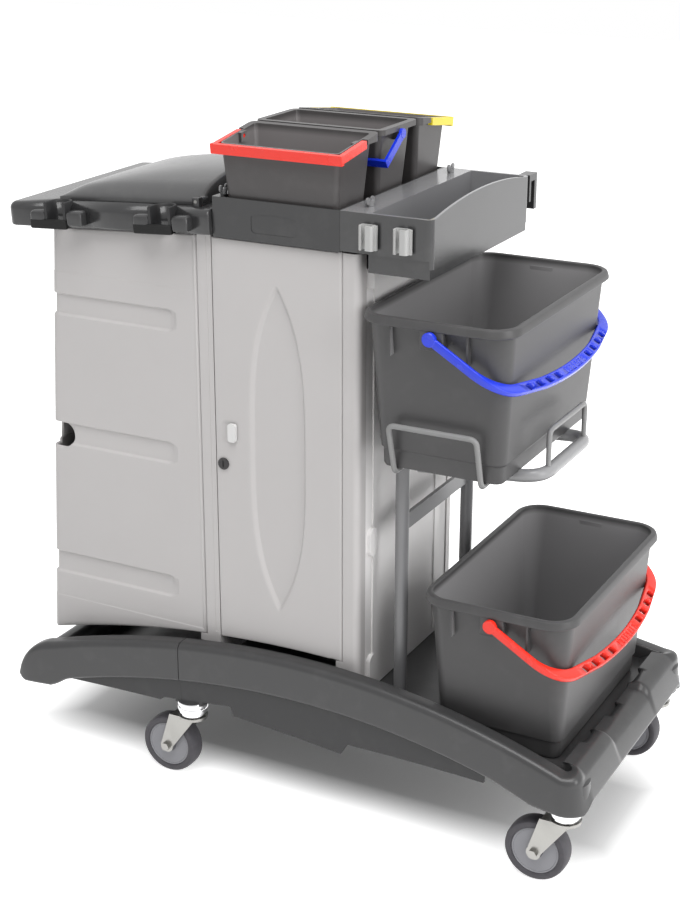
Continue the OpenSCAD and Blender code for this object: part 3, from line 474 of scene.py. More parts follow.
base_rear = Shape()
nose = []
for k in range(14, 0, -1):
    turn = math.radians(89.0 * k / 14)
    x = nose_x + nose_radius * (1 - math.sin(turn))
    foot = nose_low * math.sqrt(1 - max(0.0, 1 - (x - nose_x) / 0.011) ** 2)
    side = 0.004 * math.sin(turn) ** 6
    nose.append(Station(x, -rail_half(x) + side, (0, -1), rail_width - 2 * side, nose_z - foot - 0.0006,
                        nose_z + nose_radius * math.cos(turn)))
rear_rail = nose + near_rail(spread(nose_x + nose_radius, seam_x - seam_gap, 60), rear_low)
base_rear.loft([station.ring() for station in rear_rail])
base_rear.mirror_y()
deck(base_rear, -0.440, seam_x, rail_low, deck_high)
cross_low = (-0.466, 0.124)
cross_high = (-0.426, 0.166)
cross_rings = []
for y in spread(-0.206, 0.206, 9):
    outline = round_outline(cross_low, cross_high, (0.016,) * 4)
    cross_rings.append([(x, y, z) for x, z in outline])
base_rear.loft(cross_rings)
base_rear_look = base_rear.make("base rear length", grey_moulding)
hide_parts("base_rear")
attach(base_rear_look, "cart")

rear_skirt = Shape()
skirt(rear_skirt, skirt_edge[0][0], seam_x - seam_gap)
rear_skirt.mirror_y()
# The rear skirt is in the darker copy of the base plastic, as painted shade under the rail.
rear_skirt_look = rear_skirt.make("base rear skirt", shadow_moulding)
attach(rear_skirt_look, "cart")

housing_radius = 0.032
bumper_x = (0.438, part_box("base_front")[1].x - 0.005)
bumper_z = (0.140, 0.190)
bumper_lean = 0.020
bumper_more = 0.004
rim_crown = (0.012, 0.019)
platform_z = 0.171
corner_x = 0.443
corner_low = 0.124
corner_radius = bumper_x[1] - corner_x
corner_y = rail_half(corner_x) - corner_radius
front_drop = ((0.338, rail_low(0.338)), (0.398, 0.126), (corner_x, corner_low))


def front_low(x):
    """Lower edge of the rail, which drops to the front corner."""
    if x < front_drop[0][0]:
        return rail_low(x)
    return float(np.interp(x, [p[0] for p in front_drop], [p[1] for p in front_drop]))


def bumper_top(y):
    """The bumper dips in its middle, under the lip of the lower bucket."""
    return bumper_z[1] - 0.009 * ramp(0.086 - abs(y), 0.0, 0.012)


front_rim = near_rail(spread(seam_x + seam_gap, corner_x, 110), front_low)
for k in range(1, 25):
    share = k / 24
    turn = share * math.pi / 2
    out = (math.sin(turn), -math.cos(turn))
    rise = ramp(share, 0.0, 1.0)
    x = corner_x + corner_radius * out[0]
    y = -corner_y + corner_radius * out[1]
    low = corner_low + (bumper_z[0] - corner_low) * ramp(share, 0.6, 1.0)
    top = rail_top(corner_x) + (bumper_z[1] - rail_top(corner_x)) * rise
    lean = bumper_lean * ramp(share, 0.3, 1.0)
    crown = rim_crown[0] + (rim_crown[1] - rim_crown[0]) * share
    front_rim.append(Station(x, y, out, rail_width + bumper_more * share, low, top, crown, lean))
for y in spread(-corner_y, 0.0, 70)[1:]:
    front_rim.append(Station(bumper_x[1], y, (1, 0), rail_width + bumper_more, bumper_z[0], bumper_top(y),
                             rim_crown[1], bumper_lean))
far_rim = []
for near in front_rim[:-1]:
    out = (near.out[0], -near.out[1])
    far_rim.append(Station(near.at[0], -near.at[1], out, near.width, near.low, near.top,
                           near.crown, near.lean))
base_front = Shape()
base_front.loft([station.ring() for station in front_rim + far_rim[::-1]])
base_front_look = base_front.make("base front length", grey_moulding)


def carve(target, cutter):
    """Cuts one closed mesh out of another and leaves a plain mesh."""
    cut = target.modifiers.new("cut", "BOOLEAN")
    cut.operation = "DIFFERENCE"
    cut.object = cutter
    graph = bpy.context.evaluated_depsgraph_get()
    shaped = bpy.data.meshes.new_from_object(target.evaluated_get(graph))
    target.modifiers.remove(cut)
    target.data = shaped
    bpy.data.objects.remove(cutter)


slot_x = (0.425, 0.440)
slot_half = 0.024
slots = Shape()
for y in (-0.105, 0.0, 0.105):
    slots.box((slot_x[0], y - slot_half, 0.150), (slot_x[1], y + slot_half, 0.230), 0.0068)
carve(base_front_look, slots.make("bumper slots", shadow_moulding))
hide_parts("base_front")
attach(base_front_look, "cart")

housing_profile = [(0.0245, 0.140), (0.0245, 0.1235), (housing_radius - 0.004, 0.1235),
                   (housing_radius, 0.1275), (housing_radius + 0.0015, 0.150), (housing_radius, 0.170),
                   (housing_radius - 0.013, 0.176), (0, 0.176)]
decks = Shape()
turned(decks, (swivel_x["front"], -swivel_y["front"]), housing_profile)
decks.mirror_y()
deck(decks, seam_x, 0.200, rail_low, deck_high)
deck(decks, 0.190, bumper_x[0] + 0.01, lambda x: platform_z - 0.008, lambda x: platform_z)
decks_look = decks.make("base decks", grey_moulding)
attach(decks_look, "cart")

socket_profile = ((0.0245, 0.145), (0.0245, 0.128), (0.0255, 0.128), (0.027, 0.130), (0.027, 0.158),
                  (0.020, 0.176), (0.001, 0.178))
sockets = Shape()
socket_turns = [2 * math.pi * k / 48 for k in range(48)]
socket_rings = []
for r, z in socket_profile:
    ring = []
    for t in socket_turns:
        x = swivel_x["rear"] + r * math.cos(t)
        y = max(-swivel_y["rear"] + r * math.sin(t), -rail_half(x) + 0.0062)
        ring.append((x, y, z))
    socket_rings.append(ring)
sockets.loft(socket_rings)
sockets.mirror_y()
front_skirt = Shape()
skirt(front_skirt, seam_x + seam_gap, skirt_edge[-1][0])
front_skirt.mirror_y()
# The sockets and front skirt are in the darker copy of the base plastic, as painted shade under the rails.
for piece, name in ((sockets, "rear caster sockets"), (front_skirt, "base front skirt")):
    look = piece.make(name, shadow_moulding)
    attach(look, "cart")


# Casters: a plated bearing cup pressed on a stud, a zinc-plated steel fork that swivels
# under it, a hex axle bolt, and a grey hub with a dark rubber tyre moulded round it.
def metal(name, colour, roughness, streak=(1, 1, 1), wear=0.12):
    """Plated or bare metal with drawn streaks and a breath of tarnish."""
    finish = Finish(name)
    grain = finish.noise(260.0, 3.0, streak)
    tarnish = between(finish.noise(24.0, 4.0), 0.45, 0.80)
    tint = finish.blend(tarnish * 0.5, shade(colour, 1.04), shade(colour, 0.80))
    rough = roughness + wear * (grain - 0.5) + 0.10 * tarnish
    return finish.set(Base_Color=tint, Metallic=1.0, Roughness=rough, Normal=finish.bump(grain, 0.00006))


def rolled(shape, middle, profile, sides=72):
    """A form turned about an axle across the cart; profile is radius and offset along Y."""
    turns = [2 * math.pi * k / sides for k in range(sides)]
    rings = []
    for r, y in profile:
        r = max(r, 1e-5)
        rings.append([(middle[0] + r * math.cos(t), middle[1] + y, middle[2] + r * math.sin(t))
                      for t in turns])
    shape.loft(rings)


def soften(node, finish, width=0.0012, segments=3, angle=32):
    """Shows a CAD node with rounded arrises and a finish."""
    piece = nodes[node]
    piece.data.materials.clear()
    piece.data.materials.append(finish)
    flat = piece.modifiers.new("merge flats", "DECIMATE")
    flat.decimate_type = "DISSOLVE"
    flat.angle_limit = math.radians(0.8)
    arris = piece.modifiers.new("arris", "BEVEL")
    arris.width = width
    arris.segments = segments
    arris.limit_method = "ANGLE"
    arris.angle_limit = math.radians(angle)
    arris.harden_normals = True
    piece.data.polygons.foreach_set("use_smooth", [True] * len(piece.data.polygons))
    piece.data.set_sharp_from_angle(angle=math.radians(angle))
    return piece


chrome = metal("bright plating", (0.83, 0.83, 0.84), 0.10, wear=0.05)
zinc = metal("zinc plating", (0.32, 0.315, 0.30), 0.30, (1, 1, 6))
hub_plastic = moulded("hub plastic", (0.085, 0.085, 0.095), 0.40)
ring_plastic = moulded("hub rim plastic", (0.27, 0.27, 0.29), 0.38)


def tyre_rubber():
    """Grey-black rubber with patches of dust and a fine grain."""
    finish = Finish("tyre rubber")
    dust = between(finish.noise(85.0, 6.0), 0.42, 0.75)
    tint = finish.blend(dust * 0.35, (0.050, 0.047, 0.055, 1), (0.13, 0.125, 0.13, 1))
    skin = finish.bump(finish.noise(900.0, 2.0), 0.00008)
    return finish.set(Base_Color=tint, Roughness=0.62 + 0.15 * dust, Normal=skin)


rubber = tyre_rubber()
wheel_radius = 0.0475
tyre_side = [(0.0357, -0.0118), (0.0365, -0.0135), (0.0390, -0.0149), (0.0422, -0.0150), (0.0449, -0.0141),
             (0.0464, -0.0118), (0.0472, -0.0080), (wheel_radius, -0.0030)]
hub_side = [(0.0046, -0.0158), (0.0105, -0.0160), (0.0117, -0.0150), (0.0122, -0.0092), (0.0140, -0.0074),
            (0.0265, -0.0068), (0.0298, -0.0080), (0.0316, -0.0112), (0.0330, -0.0122)]
cup_profile = [(0.0062, 0.1245), (0.0062, 0.1062), (0.0192, 0.1062), (0.0206, 0.1072), (0.0210, 0.1100),
               (0.0216, 0.1122), (0.0232, 0.1128), (0.0239, 0.1140), (0.0240, 0.1190), (0.0236, 0.1212),
               (0.0228, 0.1222), (0.0236, 0.1234), (0.0240, 0.1258), (0.0238, 0.1296), (0.0230, 0.1308),
               (0, 0.1309)]
rim_side = [(0.0330, -0.0121), (0.0336, -0.0128), (0.0350, -0.0131), (0.0358, -0.0126), (0.0359, -0.0110)]


def both_faces(side):
    return side + [(r, -y) for r, y in reversed(side)]


cups = Shape()
for end in ("rear", "front"):
    for side in ("near", "far"):
        place = "_%s_%s" % (end, side)
        body = "wheel" + place
        low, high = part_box("tyre" + place)
        middle = (low + high) / 2
        for part, profile, finish, slot in (("tyre", tyre_side, rubber, "tyre_rubber"),
                                            ("hub", hub_side, hub_plastic, "hub_plastic"),
                                            ("hub rim", rim_side, ring_plastic, "hub_plastic")):
            wheel = Shape()
            rolled(wheel, middle, both_faces(profile))
            look = wheel.make("%s %s %s" % (part, end, side), finish, 30)
            if part != "hub rim":
                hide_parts(part + place)
            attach(look, body)
        soften("fork" + place, zinc, 0.0011)
        soften("axle" + place, zinc, 0.0007)
        swivel = (swivel_x[end], swivel_y[end] * (1 if side == "far" else -1))
        turned(cups, swivel, cup_profile)
cups_look = cups.make("caster cups", chrome, 35)
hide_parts("caster_cups")
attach(cups_look, "cart")


# Cabinet: light grey moulded corner pillars on the deck, a ribbed end panel between the
# front pillars, a plain bulkhead and a plain far panel.
panel_colour = (0.49, 0.474, 0.470)
panel_plastic = moulded("light grey panel", panel_colour, 0.40, 0.00003, 900, coat=0.2)
# Painted light: the end panel and bulkhead get a much lighter copy of the panel grey, standing for light on
# faces that stand in shade.
painted_lit_panel_plastic = moulded("painted lit grey panel", (0.80, 0.785, 0.78), 0.50)
for name in ("rear_pillars", "front_pillars", "far_panel"):
    soften(name, panel_plastic, 0.0022)
for name in ("bulkhead", "end_panel"):
    soften(name, painted_lit_panel_plastic, 0.0022)
for name in ("door_pins", "bag_door_pins", "lid_pins"):
    soften(name, zinc, 0.0005)


# Side door: one light grey moulding with an almond-shaped hollow pressed into its face,
# rolled over its hinge pins at the front edge, with a pull tab and a round black lock.
door_low, door_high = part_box("side_door")
door_roll = 0.005
roll_low = 0.247
almond_middle = (-0.036, 0.557)
almond_half = (0.047, 0.254)
almond_fullness = 3.4
pull_at = (-0.112, 0.578)


def almond_depth(x, z):
    """Depth of the hollow: crisp along the front edge and soft along the rear one."""
    up = min(1.0, abs(z - almond_middle[1]) / almond_half[1])
    half = almond_half[0] * (1 - up ** almond_fullness)
    front = half - (x - almond_middle[0])
    rear = half + (x - almond_middle[0])
    return 0.0038 * ramp(front, 0.0, 0.0045) * ramp(rear, 0.0, 0.010)


def pull_depth(x, z):
    """Depth of the shallow hollow about the pull tab."""
    away = math.hypot(max(0.0, abs(x - pull_at[0] + 0.004) - 0.008), max(0.0, abs(z - pull_at[1]) - 0.010))
    return 0.0026 * (1 - ramp(away, 0.0, 0.008))


def door_foot(x):
    """The lower edge follows the arch of the rail, up to the hinge roll."""
    return max(rail_top(x) + 0.004, roll_low if x > door_high.x - 0.021 else 0.0)


def door_face(x, z):
    y = door_low.y + almond_depth(x, z) + pull_depth(x, z)
    rim = min(x - door_low.x, z - door_foot(x), door_high.z - z)
    y += 0.0016 * (1 - min(1.0, rim / 0.0016)) ** 2
    past = x - (door_high.x - door_roll)
    if past > 0:
        y += door_roll - math.sqrt(max(0.0, door_roll ** 2 - past ** 2))
    return y


door_x = [door_low.x, door_low.x + 0.0006, door_low.x + 0.0012, door_low.x + 0.0018]
door_x += spread(door_low.x + 0.004, door_high.x - door_roll, 118)
door_x += [door_high.x - door_roll + door_roll * math.sin(math.radians(a)) for a in (15, 30, 45, 60, 75, 89)]
door_tall = door_high.z - door_low.z
door_up = [0.0, 0.0006, 0.0012, 0.0018] + spread(0.004, door_tall - 0.004, 210)
door_up += [door_tall - 0.0018, door_tall - 0.0012, door_tall - 0.0006, door_tall]
door = Shape()
door_rows = []
for up in door_up:
    row = []
    for x in door_x:
        z = door_foot(x) + up * (door_high.z - door_foot(x)) / door_tall
        row.append((x, door_face(x, z), z))
    door_rows.append(row)
door.loft(door_rows, closed=False)
back = door_low.y + 0.0036
door_ends = [[(x, max(back, y), z) for x, y, z in reversed(row)] for row in (door_rows[0], door_rows[-1])]
door.loft(door_ends, closed=False)
flange = door_low.y + 0.015
flange_face = door_low.y + 0.0016
flange_wall = 0.003
door.box((door_low.x, flange_face, door_foot(door_low.x)), (door_low.x + flange_wall, flange, door_high.z))
door.box((door_low.x, flange_face, door_high.z - flange_wall), (door_high.x - 0.017, flange, door_high.z))
foot_rings = []
for x in spread(door_low.x, door_high.x - 0.022, 20):
    foot = door_foot(x)
    lip = ((back, foot), (flange, foot), (flange, foot + flange_wall), (back, foot + flange_wall))
    foot_rings.append([(x, y, z) for y, z in lip])
door.loft(foot_rings)


def roll_profile(foot, head, lip):
    """An upright hinge roll and its pin bores, from the lower bore round to the upper one."""
    return [(0.0027, foot + 0.02), (0.0027, foot), (lip, foot), (0.0049, foot + 0.001),
            (0.0049, head - 0.001), (lip, head), (0.0027, head), (0.0027, head - 0.02)]


door_pivot = (door_high.x - door_roll, door_low.y + door_roll)
turned(door, door_pivot, roll_profile(roll_low, door_high.z, 0.0048), 32)
door_look = door.make("side door", panel_plastic, 30)
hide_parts("side_door")
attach(door_look, "side_door")

pull_plastic = moulded("pull tab", (0.68, 0.675, 0.67), 0.42)
lock_black = moulded("lock face", (0.022, 0.020, 0.021), 0.35)
soften("door_pull", pull_plastic, 0.0012)
soften("door_lock", lock_black, 0.0005)


# Bag doors: the two halves of the bag cabinet, each one light grey moulding round a rear
# corner, with sunk bands along the side, a finger notch at the rear and pins at its front edge.
bag_corner = 0.012
bag_skin = 0.004
bag_low, bag_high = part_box("bag_door_near")
bag_roll = 0.005
bag_front = bag_high.x - bag_roll
bag_rear = -0.440
bag_middle_z = 0.530
bag_lean = 0.022 / 0.380
bag_bands = ((0.287, 0.325, -0.215), (0.508, 0.545, -0.208), (0.716, 0.752, -0.202))
bag_creases = (0.246, 0.784)
finger_notch = (-0.399, 0.524)
finger_half = 0.020
frame_at = (-0.133, 0.873)
frame_tilt = math.radians(3.7)


def bag_path():
    """Plan of the near half from its front edge along the side and round to the middle."""
    side_y = bag_low.y
    path = [(x, side_y) for x in spread(bag_front, bag_rear + bag_corner, 160)]
    bend = corner_arc(bag_rear + bag_corner, side_y + bag_corner, bag_corner, 270, 180, 14)
    path += bend[1:]
    path += [(bag_rear, y) for y in spread(side_y + bag_corner, bag_high.y, 34)[1:]]
    return path


def bag_shift(x, z):
    """The rear wall stands square to the tilted frame, so the skin is longer towards the floor."""
    share = min(1.0, (bag_front - x) / (bag_front - bag_rear - bag_corner))
    return share * bag_lean * (z - bag_middle_z)


def bag_normal(path, k):
    """The way into the cabinet, square to the plan."""
    a = Vector(path[max(0, k - 1)])
    b = Vector(path[min(len(path) - 1, k + 1)])
    way = (b - a).normalized()
    return (way.y, -way.x)


def frame_under(x):
    """Underside of the tilted bag frame over a point along the cart."""
    return frame_at[1] + (x - frame_at[0]) * math.tan(frame_tilt)


def bag_depth(x, z):
    """How far the skin is sunk: three bands with round front ends, and two faint creases."""
    sunk = 0.0
    for low, high, end in bag_bands:
        half = (high - low) / 2
        off = z - (low + high) / 2
        past = max(0.0, x - (end - half))
        edge = 0.0026 if off > 0 else 0.0050
        sunk = max(sunk, 0.0034 * ramp(half - math.hypot(past, off), 0.0, edge))
    for crease in bag_creases:
        sunk += 0.0005 * ramp(z, crease, crease + 0.0014)
    return sunk


def bag_rows():
    """Heights that all columns share, closer together at the edges of the bands and creases."""
    rows = set(spread(0.254, 0.838, 44))
    for low, high, _ in bag_bands:
        rows.update(low + step * 0.0009 for step in range(-1, 7))
        rows.update(high - step * 0.0007 for step in range(-1, 6))
    for crease in bag_creases:
        rows.update((crease - 0.0008, crease, crease + 0.0007, crease + 0.0014, crease + 0.0022))
    return sorted(row for row in rows if row > 0.244)


bag_plan = bag_path()
bag_shared = bag_rows()


def bag_column(point, normal):
    """Outer points from the bottom edge to the top edge of one upright line on the skin."""
    low = rail_top(point[0] + bag_shift(point[0], 0.200)) + 0.005
    high = frame_under(point[0] + bag_shift(point[0], 0.860)) - 0.0036
    shared = bag_shared
    if low > shared[0] - 0.003:
        gap = low + 0.003 - shared[0]
        shared = [z + gap * max(0.0, 1 - (z - shared[0]) / 0.030) for z in shared]
    heights = spread(low, shared[0], 12)[:-1] + shared + spread(shared[-1], high, 8)[1:]
    heights[1] = low + 0.25 * (heights[3] - low)
    heights[2] = low + 0.55 * (heights[3] - low)
    heights[-2] = high - 0.0007
    heights[-3] = high - 0.0018
    column = []
    for z in heights:
        edge = min(z - low, high - z)
        x = point[0] + bag_shift(point[0], z)
        sunk = bag_depth(x, z) + 0.0012 * (1 - min(1.0, edge / 0.0018)) ** 2
        column.append((x + normal[0] * sunk, point[1] + normal[1] * sunk, z))
    return column


def bag_door(name, side):
    """Skin with its finger notch, and the hinge roll, of one half."""
    normals = [bag_normal(bag_plan, k) for k in range(len(bag_plan))]
    outer = [bag_column(p, n) for p, n in zip(bag_plan, normals)]
    inner = []
    for column, normal in zip(outer, normals):
        inner.append([(x + normal[0] * bag_skin, y + normal[1] * bag_skin, z) for x, y, z in column])
    shell = Shape()
    rings = [a + b[::-1] for a, b in zip(outer, inner)]
    shell.loft(rings, ends=False)
    count = len(outer[0])
    last = (len(rings) - 1) * 2 * count
    for k in range(count - 1):
        shell.faces.append((k + 1, k, 2 * count - 1 - k, 2 * count - 2 - k))
        shell.faces.append((last + k, last + k + 1, last + 2 * count - 2 - k, last + 2 * count - 1 - k))
    shell.points = [(x, -side * y, z) for x, y, z in shell.points]
    if side < 0:
        shell.faces = [tuple(reversed(face)) for face in shell.faces]
    look = shell.make(name, panel_plastic, 40)
    hole = Shape()
    low = (-0.500, finger_notch[1] - finger_half)
    high = (finger_notch[0], finger_notch[1] + finger_half)
    bore = round_outline(low, high, (0.001, finger_half - 0.0001, finger_half - 0.0001, 0.001), 16)
    through = (0.145, 0.20) if side < 0 else (0.20, 0.145)
    hole.loft([[(x, side * y, z) for x, z in bore] for y in through])
    carve(look, hole.make("finger hole", panel_plastic))
    barrel = Shape()
    hinge = (bag_front, side * (-bag_low.y - bag_roll))
    foot = rail_top(hinge[0]) + 0.0056
    head = frame_under(hinge[0]) - 0.0040
    turned(barrel, hinge, roll_profile(foot, head, 0.0046), 32)
    barrel_look = barrel.make(name + " hinge roll", panel_plastic, 40)
    return look, barrel_look


for half, side in (("near", -1), ("far", 1)):
    body = "bag_door_" + half
    skin_look, roll_look = bag_door("bag door " + half, side)
    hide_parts(body)
    for look in (skin_look, roll_look):
        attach(look, body)


# Bag frame and lid: a dark tilted frame with round shoulders, screwed to the pillars, with two
# tool holders on each side, and a crowned lid with a thin lip that hinges at its front edge.
def copies_tree():
    """A Geometry Nodes tree that sets a piece on each point."""
    tree = bpy.data.node_groups.new("copies on points", "GeometryNodeTree")
    sockets = {}
    for name, kind in (("Points", "Geometry"), ("Piece", "Object"), ("Finish", "Material")):
        socket = tree.interface.new_socket(name, in_out="INPUT", socket_type="NodeSocket" + kind)
        sockets[name] = socket.identifier
    tree.interface.new_socket("Copies", in_out="OUTPUT", socket_type="NodeSocketGeometry")
    start = tree.nodes.new("NodeGroupInput")
    piece = tree.nodes.new("GeometryNodeObjectInfo")
    place = tree.nodes.new("GeometryNodeInstanceOnPoints")
    real = tree.nodes.new("GeometryNodeRealizeInstances")
    paint = tree.nodes.new("GeometryNodeSetMaterial")
    end = tree.nodes.new("NodeGroupOutput")
    links = tree.links
    links.new(start.outputs["Piece"], piece.inputs["Object"])
    links.new(start.outputs["Points"], place.inputs["Points"])
    links.new(piece.outputs["Geometry"], place.inputs["Instance"])
    links.new(place.outputs["Instances"], real.inputs["Geometry"])
    links.new(real.outputs["Geometry"], paint.inputs["Geometry"])
    links.new(start.outputs["Finish"], paint.inputs["Material"])
    links.new(paint.outputs["Geometry"], end.inputs["Copies"])
    return tree, sockets


copies, copies_sockets = copies_tree()


def set_copies(name, piece, points, finish):
    """Sets copies of a piece on points and leaves them as one plain mesh."""
    made = mesh_object(name, points, [], finish)
    grow = made.modifiers.new("copies", "NODES")
    grow.node_group = copies
    grow[copies_sockets["Piece"]] = piece
    grow[copies_sockets["Finish"]] = finish
    graph = bpy.context.evaluated_depsgraph_get()
    shaped = bpy.data.meshes.new_from_object(made.evaluated_get(graph))
    made.modifiers.remove(grow)
    made.data = shaped
    bpy.data.objects.remove(piece)
    return made


def mirrored(name, source):
    """The same piece on the far side."""
    twin = source.data.copy()
    twin.transform(Matrix.Scale(-1, 4, (0, 1, 0)))
    twin.flip_normals()
    made = bpy.data.objects.new(name.replace(" ", "_"), twin)
    scene.collection.objects.link(made)
    return made


lid_moulding = moulded("lid moulding", (0.062, 0.062, 0.063), 0.24, coat=0.3)
frame_moulding = moulded("frame moulding", (0.034, 0.034, 0.035), 0.24, coat=0.2)
band_black = moulded("holder band", (0.004, 0.004, 0.004), 0.75)
# Painted shade: the holder collars are near-black so that the channels they line look dark.
collar_painted_shade = moulded("holder collar", (0.018, 0.018, 0.019), 0.50)
frame_turn = Matrix.Translation((frame_at[0], 0, frame_at[1])) @ Matrix.Rotation(-frame_tilt, 4, "Y")
frame_high = 0.036
frame_half = 0.180
frame_rear = -0.3546
mouth_low = (-0.266, -0.125)
mouth_high = (-0.050, 0.125)
holder_at = (-0.256, -0.0735)
frame_shell = Shape()
frame_stages = [(0.004, 0.0), (0.0012, 0.0012), (0.0, 0.004), (0.0, frame_high - 0.011)]
for k in range(1, 9):
    lean = math.radians(90 * k / 8)
    frame_stages.append((0.011 * (1 - math.cos(lean)), frame_high - 0.011 * (1 - math.sin(lean))))
frame_rings = []
for inset, z in frame_stages:
    radii = (max(0.014 - inset, 0.004), 0.003, 0.003, max(0.014 - inset, 0.004))
    low = (frame_rear + inset, -frame_half + inset)
    high = (-inset * 0.2, frame_half - inset)
    frame_rings.append([(x, y, z) for x, y in round_outline(low, high, radii, 10)])
for inset, z in ((-0.002, frame_high), (0.0, frame_high - 0.002), (0.0, 0.002), (-0.002, 0.0)):
    low = (mouth_low[0] + inset, mouth_low[1] + inset)
    high = (mouth_high[0] - inset, mouth_high[1] - inset)
    frame_rings.append([(x, y, z) for x, y in round_outline(low, high, (0.008,) * 4, 10)])
frame_shell.loft(frame_rings + frame_rings[:1], ends=False)
frame_look = frame_shell.make("bag frame", frame_moulding, 34)
for side in (-1, 1):
    channels = Shape()
    for x in holder_at:
        turned(channels, (x, side * (frame_half + 0.002)), [(0.017, -0.02), (0.017, 0.06)])
    carve(frame_look, channels.make("holder channels", frame_moulding))
frame_look.data.transform(frame_turn)
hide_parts("bag_frame")
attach(frame_look, "cart")


def tab_piece():
    """The two rounded tabs that stand out beside the channel of one tool holder."""
    tabs = Shape()
    stages = ((0.0020, 0.0060), (0.0004, 0.0075), (0.0, 0.010), (0.0, 0.022), (0.0006, 0.0255),
              (0.0026, 0.0275), (0.0060, 0.0282))
    for middle in (-0.0325, 0.0325):
        rings = []
        for inset, z in stages:
            low = (middle - 0.0135 + inset, -0.0150 + inset)
            high = (middle + 0.0135 - inset, 0.004)
            rings.append([(x, y, z) for x, y in round_outline(low, high, (0.005, 0.005, 0.001, 0.001), 5)])
        tabs.loft(rings)
    return tabs.make("tab piece", frame_moulding, 34)


def collar_piece():
    """The collar that lines the channel of one tool holder; its near-black finish is painted shade in the
    channel.
    """
    collar = Shape()
    rings = []
    top = frame_high + 0.0046
    stages = ((-0.0012, 0.006), (0.0, 0.0075), (0.0, top - 0.0022), (-0.0010, top - 0.0006), (-0.0024, top))
    for inset, z in stages:
        outer = corner_arc(0, 0.002, 0.0190 + inset, 0, 180, 20)
        inner = corner_arc(0, 0.002, 0.0145 - inset, 180, 0, 20)
        plan = [(0.0190 + inset, -0.013)] + outer + [(-0.0190 - inset, -0.013), (-0.0145 + inset, -0.013)]
        rings.append([(x, y, z) for x, y in plan + inner + [(0.0145 - inset, -0.013)]])
    collar.loft(rings)
    return collar.make("collar piece", collar_painted_shade, 34)


def band_piece():
    """The dark rubber band across the mouth of a holder."""
    band = Shape()
    rings = []
    for inset, z in ((0.0012, 0.0012), (0.0, 0.0025), (0.0, 0.0135), (0.0012, 0.0148)):
        low = (-0.0455 + inset, -0.0158 + inset)
        high = (0.0195 - inset, -0.0092)
        rings.append([(x, y, z) for x, y in round_outline(low, high, (0.003, 0.003, 0.001, 0.001), 4)])
    band.loft(rings)
    return band.make("band piece", band_black, 34)


holder_points = [(x, -frame_half, 0.0) for x in holder_at]
holder_sets = (("holder tabs", tab_piece(), frame_moulding),
               ("holder collars", collar_piece(), collar_painted_shade),
               ("holder bands", band_piece(), band_black))
for name, piece, finish in holder_sets:
    near_set = set_copies(name + " near", piece, holder_points, finish)
    far_set = mirrored(name + " far", near_set)
    for look in (near_set, far_set):
        look.data.transform(frame_turn)
        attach(look, "cart")
lug_y = 0.1575
lugs = Shape()
for y in (-lug_y, lug_y):
    lugs.box((-0.036, y - 0.0055, frame_high - 0.003), (-0.024, y + 0.0055, frame_high + 0.0128), 0.002)
lugs_look = lugs.make("lid lugs", frame_moulding, 34)
lugs_look.data.transform(frame_turn)
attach(lugs_look, "cart")
lid_half = 0.150
lid_span = (-0.276, -0.026)
lid_foot = frame_high + 0.0005
lid_lip = lid_foot + 0.0045
lid_across = 0.4024
lid_along = 1.090
lid_axis = (-0.030, frame_high + 0.0075)


def lid_height(x, y):
    """Height of the lid's skin: crowned across, arched along, and rolled down to a thin lip."""
    crown = lid_foot + 0.045 - lid_across + math.sqrt(lid_across ** 2 - y * y)
    arch = lid_axis[1] + 0.0385 - lid_along + math.sqrt(lid_along ** 2 - (x + 0.020) ** 2)
    apart = crown - arch
    dome = (crown + arch - math.sqrt(apart * apart + 0.010 ** 2)) / 2
    to_side = 1 - min(1.0, (lid_half - abs(y)) / 0.034)
    to_rear = 1 - min(1.0, (x - lid_span[0]) / 0.034)
    roll = math.sqrt(1 - to_side ** 2) * math.sqrt(1 - to_rear ** 2)
    to_front = 1 - min(1.0, (lid_span[1] - x) / 0.006)
    return lid_lip + (dome - lid_lip) * roll - 0.004 * to_front ** 2


edge_steps = [0.0, 0.0004, 0.0015, 0.0034, 0.006, 0.0095, 0.014, 0.019, 0.025, 0.031]
lid_x = [lid_span[0] + step for step in edge_steps] + spread(lid_span[0] + 0.036, lid_span[1] - 0.007, 24)
lid_x += [lid_span[1] - step for step in (0.005, 0.0035, 0.003, 0.0015, 0.0)]
lid_side = [lid_half - step for step in edge_steps] + spread(lid_half - 0.038, 0.0, 18)
lid_y = [-y for y in lid_side] + lid_side[-2::-1]
lid_wall = 0.003
lid = Shape()
lid_rings = []
for x in lid_x:
    skin = [(x, -lid_half, lid_foot)] + [(x, y, lid_height(x, y)) for y in lid_y] + [(x, lid_half, lid_foot)]
    under = []
    for y in lid_y:
        high = lid_foot if x > lid_span[1] - 0.0032 else max(lid_foot, lid_height(x, y) - lid_wall)
        under.append((x, y * (lid_half - lid_wall) / lid_half, high))
    lid_rings.append(skin + under[::-1])
lid.loft(lid_rings)
for side in (-1, 1):
    rolled(lid, (lid_axis[0], side * (lid_half - 0.007), lid_axis[1]),
           [(0.0027, -0.007), (0.0055, -0.007), (0.0055, 0.007), (0.0027, 0.007)], 32)
lid_look = lid.make("bag lid", lid_moulding, 50)
lid_look.data.transform(frame_turn)
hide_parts("bag_lid")
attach(lid_look, "lid")


# Trays: a middle tray recessed for the small buckets and a front tray with a deep bin,
# screwed to the cabinet top, with a side hook, two tool clips and three wing screws.
tray_moulding = moulded("tray moulding", (0.032, 0.032, 0.033), 0.22, coat=0.2)
soften("middle_tray", tray_moulding, 0.0026, 4)
bin_middle = ((0.112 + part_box("front_tray")[1].x) / 2, 0.0)
bin_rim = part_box("middle_tray")[1].z + 0.040
